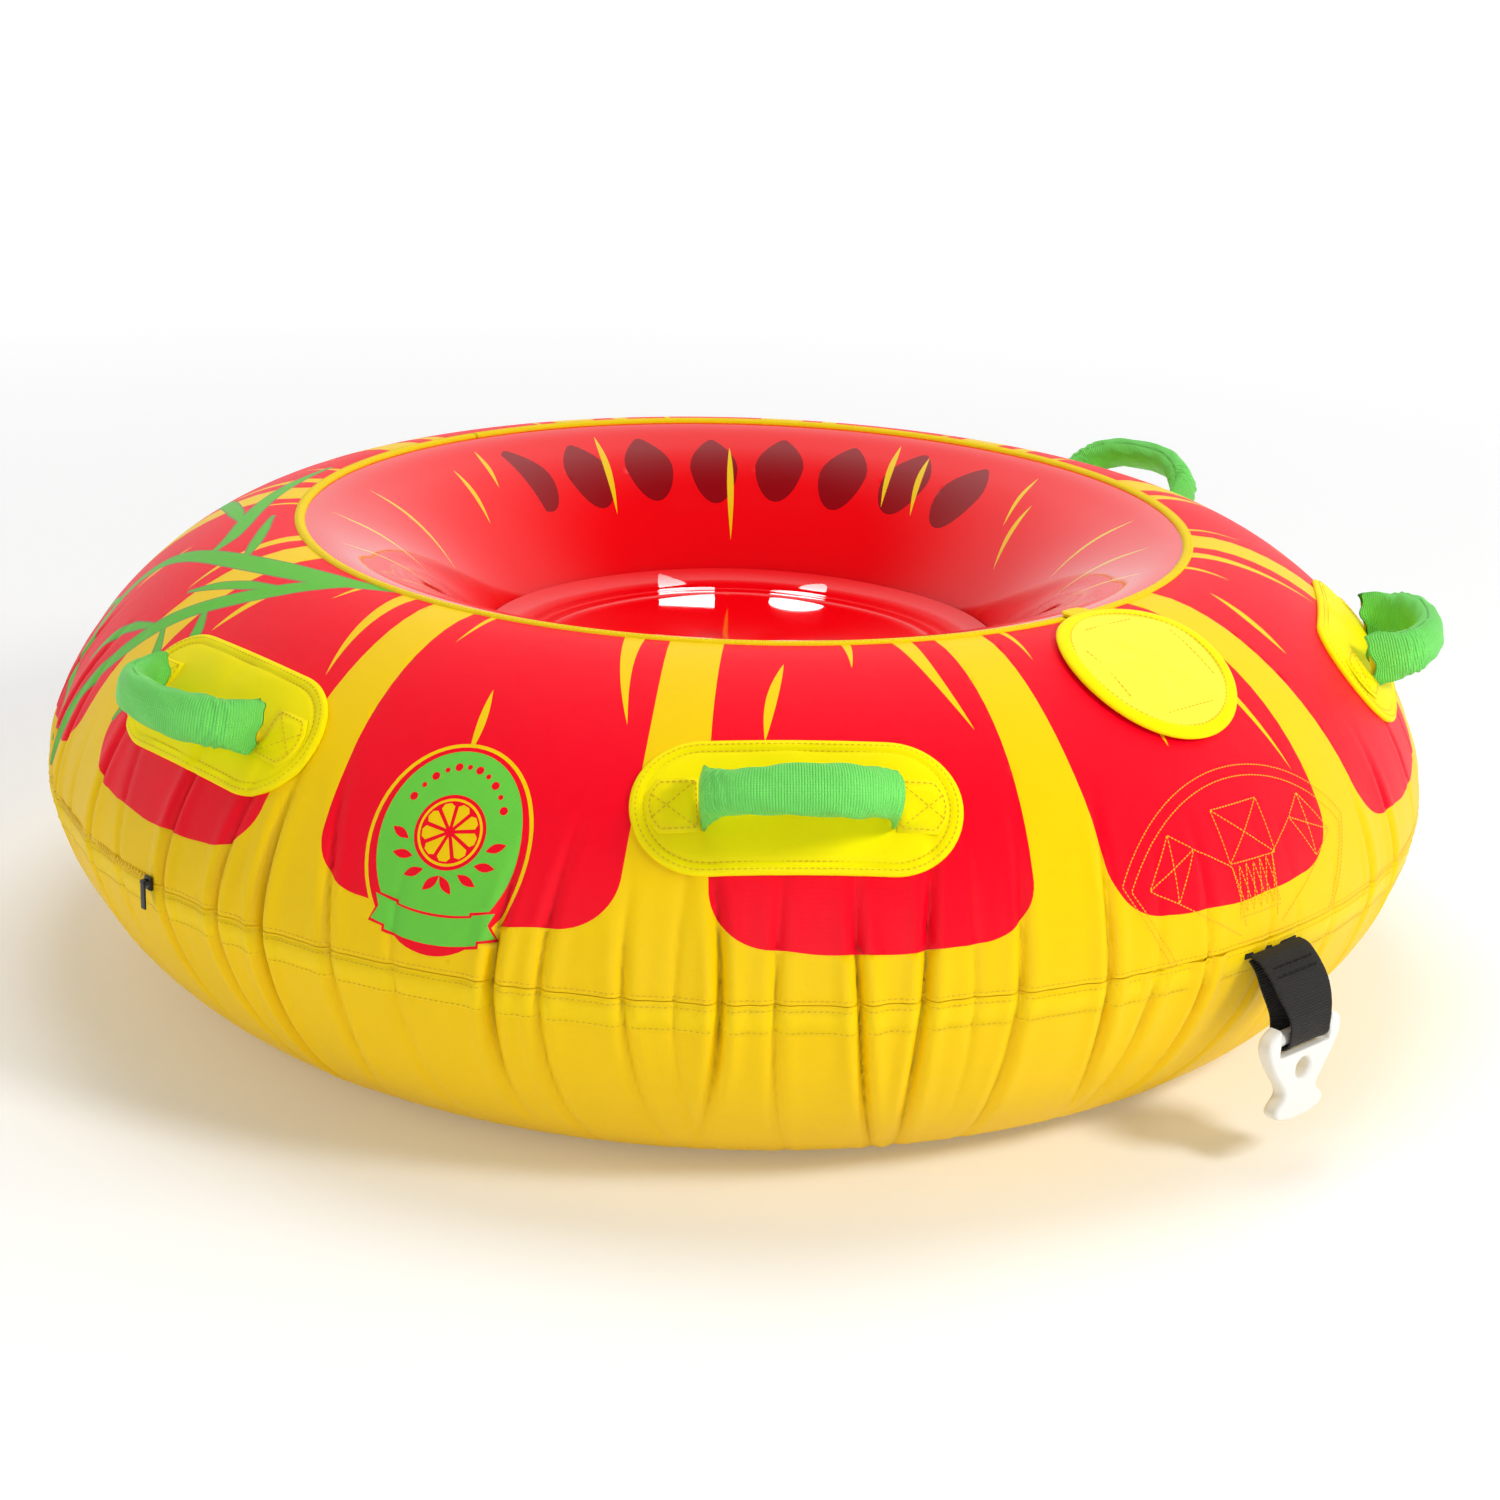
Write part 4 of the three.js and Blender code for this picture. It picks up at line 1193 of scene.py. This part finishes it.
def make_tow_stitching():
    """Gold stitching that shows where the inner patch and straps are sewn through the cover."""
    lines = []
    centre, down = -13, 240

    def at(points, lift=0.35 * MM):
        """Sews along points in millimetres: beside the middle of the patch, and down from the crest."""
        x = np.array([(centre + p[0]) * MM for p in points])
        y = np.array([(down - p[1]) * MM for p in points])
        lines.append(cover_line(list(zip(*on_site(0, down * MM, x, y))), lift, 2 * MM))

    for radius in (166, 157):
        arc = [(-radius * math.cos(rad(a)), 343 - radius * math.sin(rad(a))) for a in range(38, 143, 4)]
        at([(-radius * 0.58, 312), *arc, (radius * 0.58, 312)])
    boxes = [[(-27, 206), (26, 207), (28, 252), (-25, 250)],
             [(-77, 214), (-57, 230), (-84, 266), (-108, 250)],
             [(77, 214), (57, 230), (80, 266), (106, 250)]]
    for box in boxes:
        at(box + box[:1])
        at([box[0], box[2]])
        at([box[1], box[3]])
    for side in (-1, 1):
        at([(side * 57, 230), (side * 24, 252), (side * 19, 300)])
        at([(side * 84, 266), (side * 24, 306)])
    for flip in (0, 1):
        at([(-24 + 8 * i, 252 if (i + flip) % 2 else 290) for i in range(7)])
    at([(-25, 292), (25, 292)])
    at([(-27, 312), (27, 312)])
    stitch_mesh("tow_stitching", lines, thread_gold, "tube", 2.6 * MM, 0.7 * MM)


# ---------- the zip ----------
def make_zip():
    """Teeth round the rear half of the seam, alternately above and below it, and the slider with its pull."""
    low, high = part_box("zipper_coil")
    middle = (low.z + high.z) / 2
    start = math.acos(-21 * MM / RING_RADIUS)
    count = 760
    box = ((0, 1, 3, 2), (4, 6, 7, 5), (0, 4, 5, 1), (2, 3, 7, 6), (0, 2, 6, 4), (1, 5, 7, 3))
    points, faces = [], []
    for i in range(count):
        a = start + (2 * math.pi - 2 * start) * (i + 0.5) / count
        radial, tangent = Vector((math.cos(a), math.sin(a), 0)), Vector((-math.sin(a), math.cos(a), 0))
        base = len(points)
        centre = radial * high.y + Vector((0, 0, middle + (0.9 if i % 2 else -0.9) * MM))
        for r, size in ((-1.8 * MM, 1.0), (0, 0.8)):
            for x in (-0.75 * MM, 0.75 * MM):
                for z in (-2.2 * MM, 2.2 * MM):
                    points.append(centre + radial * r + tangent * x * size + Vector((0, 0, z * size)))
        faces += [[base + k for k in face] for face in box]
    zip_yellow = plastic("zip_yellow", (0.85, 0.58, 0.0), 0.4)
    piece("zip_teeth", points, faces, [zip_yellow], "tube", ["zipper_coil"], flat=True)
    for part in ("zipper_slider", "zipper_pull"):
        softened_copy(part, part, black, 0.35 * MM)


def softened_copy(node, body, mat, width):
    """A CAD piece with rounded edges, in place of the node."""
    obj = cad_copy(f"{node}_finished", node, dissolve=True)
    bevel = obj.modifiers.new("round", "BEVEL")
    bevel.width = width
    bevel.segments = 3
    bevel.limit_method = "ANGLE"
    bevel.angle_limit = rad(35)
    apply_modifiers(obj, mat)
    smooth_by_angle(obj.data, 40)
    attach(obj, body)
    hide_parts(node)


def smooth_by_angle(mesh, degrees):
    build = bmesh.new()
    build.from_mesh(mesh)
    for edge in build.edges:
        edge.smooth = len(edge.link_faces) == 2 and edge.calc_face_angle(0) < rad(degrees)
    build.to_mesh(mesh)
    build.free()


# ---------- inner pieces that keep their CAD shape ----------
def finish_inner_nodes():
    looks = {
        "valve_flange": red_vinyl, "tow_reinforcement": yellow_nylon, "flap_loop_patch": bright_yellow,
        "flap_hook_patch": bright_yellow, "tow_strap_right": black_weave, "tow_strap_centre": black_weave,
        "tow_strap_left": black_weave, "tow_webbing_root": black_weave, "valve_gasket": rubber,
    }
    for node, mat in looks.items():
        mesh = frame["nodes"][node].data
        mesh.materials.clear()
        mesh.materials.append(mat)
    softened_copy("valve_body", "tube", ivory, 0.6 * MM)
    softened_copy("valve_cap", "valve_cap", ivory, 0.5 * MM)


# ---------- camera, light and floor ----------
# The camera's place and angles (radians) before it is turned round the part by CAMERA_TURN degrees.
CAMERA_TURN = 46.7
CAMERA_AT = (0.0, -2.5856, 1.0442)
CAMERA_LENS = 71.65
PITCH, YAW, ROLL = 0.3264, 0.0046, 0.0348
FLOOR_HALF, BACKDROP_RADIUS, CLIP_END = 400, 300, 900


def make_camera():
    camera = bpy.data.cameras.new("camera")
    camera.sensor_width = 36
    camera.lens = CAMERA_LENS
    camera.clip_end = CLIP_END
    obj = bpy.data.objects.new("camera", camera)
    bpy.context.scene.collection.objects.link(obj)
    forward = Vector((math.sin(YAW) * math.cos(PITCH), math.cos(YAW) * math.cos(PITCH), -math.sin(PITCH)))
    flat_right = Vector((math.cos(YAW), -math.sin(YAW), 0))
    flat_up = flat_right.cross(forward)
    right = flat_right * math.cos(ROLL) + flat_up * math.sin(ROLL)
    up = -flat_right * math.sin(ROLL) + flat_up * math.cos(ROLL)
    axes = Matrix((right, up, -forward)).transposed().to_4x4()
    turn = Matrix.Rotation(rad(CAMERA_TURN), 4, "Z")
    obj.matrix_world = turn @ Matrix.Translation(CAMERA_AT) @ axes
    bpy.context.scene.camera = obj


def area_light(name, at, aim, size, power, shape="RECTANGLE"):
    """A softbox, placed in the camera's directions: x to its right, y away from it, z up."""
    light = bpy.data.lights.new(name, "AREA")
    light.shape = shape
    light.size, light.size_y = size
    light.energy = power
    obj = bpy.data.objects.new(name, light)
    bpy.context.scene.collection.objects.link(obj)
    turn = Matrix.Rotation(rad(CAMERA_TURN), 4, "Z")
    place, target = turn @ Vector(at), turn @ Vector(aim)
    obj.location = place
    obj.rotation_euler = (target - place).to_track_quat("-Z", "Y").to_euler()
    return obj


def make_world():
    """A white sky, dim above the camera so that the folds it sees keep their shade, and bright elsewhere."""
    world = bpy.data.worlds.new("studio")
    bpy.context.scene.world = world
    world.use_nodes = True
    tree = world.node_tree
    background = tree.nodes["Background"]
    background.inputs[0].default_value = (1, 1, 1, 1)
    towards = add(tree, "ShaderNodeVectorMath", operation="DOT_PRODUCT")
    place = add(tree, "ShaderNodeTexCoord")
    tree.links.new(place.outputs["Generated"], towards.inputs[0])
    towards.inputs[1].default_value = (0.52, -0.49, 0.70)
    light = map_range(tree, towards.outputs["Value"], (0.05, 0.72), (0.95, 0.10),
                      interpolation_type="SMOOTHSTEP")
    tree.links.new(light, background.inputs[1])


def make_lights():
    for light in (
        area_light("key", (2.2, -1.7, 2.1), (0, 0, 0.15), (0.7, 0.7), 52),
        area_light("fill", (-2.4, -1.6, 1.5), (0, 0, 0.15), (1.4, 1.6), 8),
        area_light("front", (0.1, -3.2, 0.9), (0, 0, 0.15), (1.6, 1.0), 11),
        area_light("overhead", (0.0, 0.2, 2.9), (0, 0, 0.3), (1.6, 1.6), 30),
    ):
        light.visible_glossy = False
    sheen = area_light("satin", (0.3, -3.0, 0.85), (0, 0, 0.2), (1.6, 0.5), 20)
    sheen.visible_diffuse = False
    window_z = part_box("floor_panel")[1].z + 0.0102
    for name, x, shape in (("window_left", -0.0535, "RECTANGLE"), ("window_right", 0.0535, "ELLIPSE")):
        aim = (x, 0.15, window_z - 0.019)
        light = area_light(name, (x, 0.215, window_z), aim, (0.054, 0.013), 0.015, shape)
        light.visible_diffuse = False
        light.visible_camera = False


def staged(mesh, mat):
    obj = bpy.data.objects.new(mesh.name, mesh)
    bpy.context.scene.collection.objects.link(obj)
    mesh.materials.append(mat)
    return obj


def make_ground():
    """A white floor that glows more with distance, so that it fades into the backdrop."""
    half = FLOOR_HALF
    corners = [(-half, -half, 0), (half, -half, 0), (half, half, 0), (-half, half, 0)]
    mesh = bpy.data.meshes.new("studio_floor")
    mesh.from_pydata(corners, [], [(0, 1, 2, 3)])
    mat, tree, bsdf = shader("pale_floor", (0.90, 0.90, 0.90), 0.8, Specular_IOR_Level=0.1)
    bsdf.inputs["Emission Color"].default_value = (1, 1, 1, 1)
    place = tree.nodes.new("ShaderNodeTexCoord")
    distance = add(tree, "ShaderNodeVectorMath", operation="LENGTH")
    tree.links.new(place.outputs["Object"], distance.inputs[0])
    glow = map_range(tree, distance.outputs["Value"], (0.9, 5.0), (0.12, 0.8))
    tree.links.new(glow, bsdf.inputs["Emission Strength"])
    ground = staged(mesh, mat)
    ground.location.z = -0.5 * MM


def make_backdrop():
    """A pale dome that only the camera sees, so that low views don't look past the floor's edge."""
    mesh = bpy.data.meshes.new("studio_backdrop")
    build = bmesh.new()
    bmesh.ops.create_uvsphere(build, u_segments=64, v_segments=32, radius=BACKDROP_RADIUS)
    build.to_mesh(mesh)
    build.free()
    mat, _, bsdf = shader("pale_backdrop", (0, 0, 0), 1.0, Specular_IOR_Level=0.0)
    bsdf.inputs["Emission Color"].default_value = (1, 1, 1, 1)
    bsdf.inputs["Emission Strength"].default_value = 0.96
    dome = staged(mesh, mat)
    dome.visible_diffuse = False
    dome.visible_glossy = False
    dome.visible_transmission = False
    dome.visible_shadow = False


# ---------- make everything ----------
make_camera()
make_world()
make_lights()
make_ground()
make_backdrop()
make_cover_top()
make_cover_bottom()
make_tapes()
make_bladder()
make_chamber()
make_floor()
for handle in ("right_front", "right_rear", "left_front", "left_rear"):
    make_handle(handle)
make_flap()
make_strap()
make_hook()
make_tow_stitching()
make_zip()
finish_inner_nodes()

bpy.context.scene.view_settings.view_transform = "Standard"
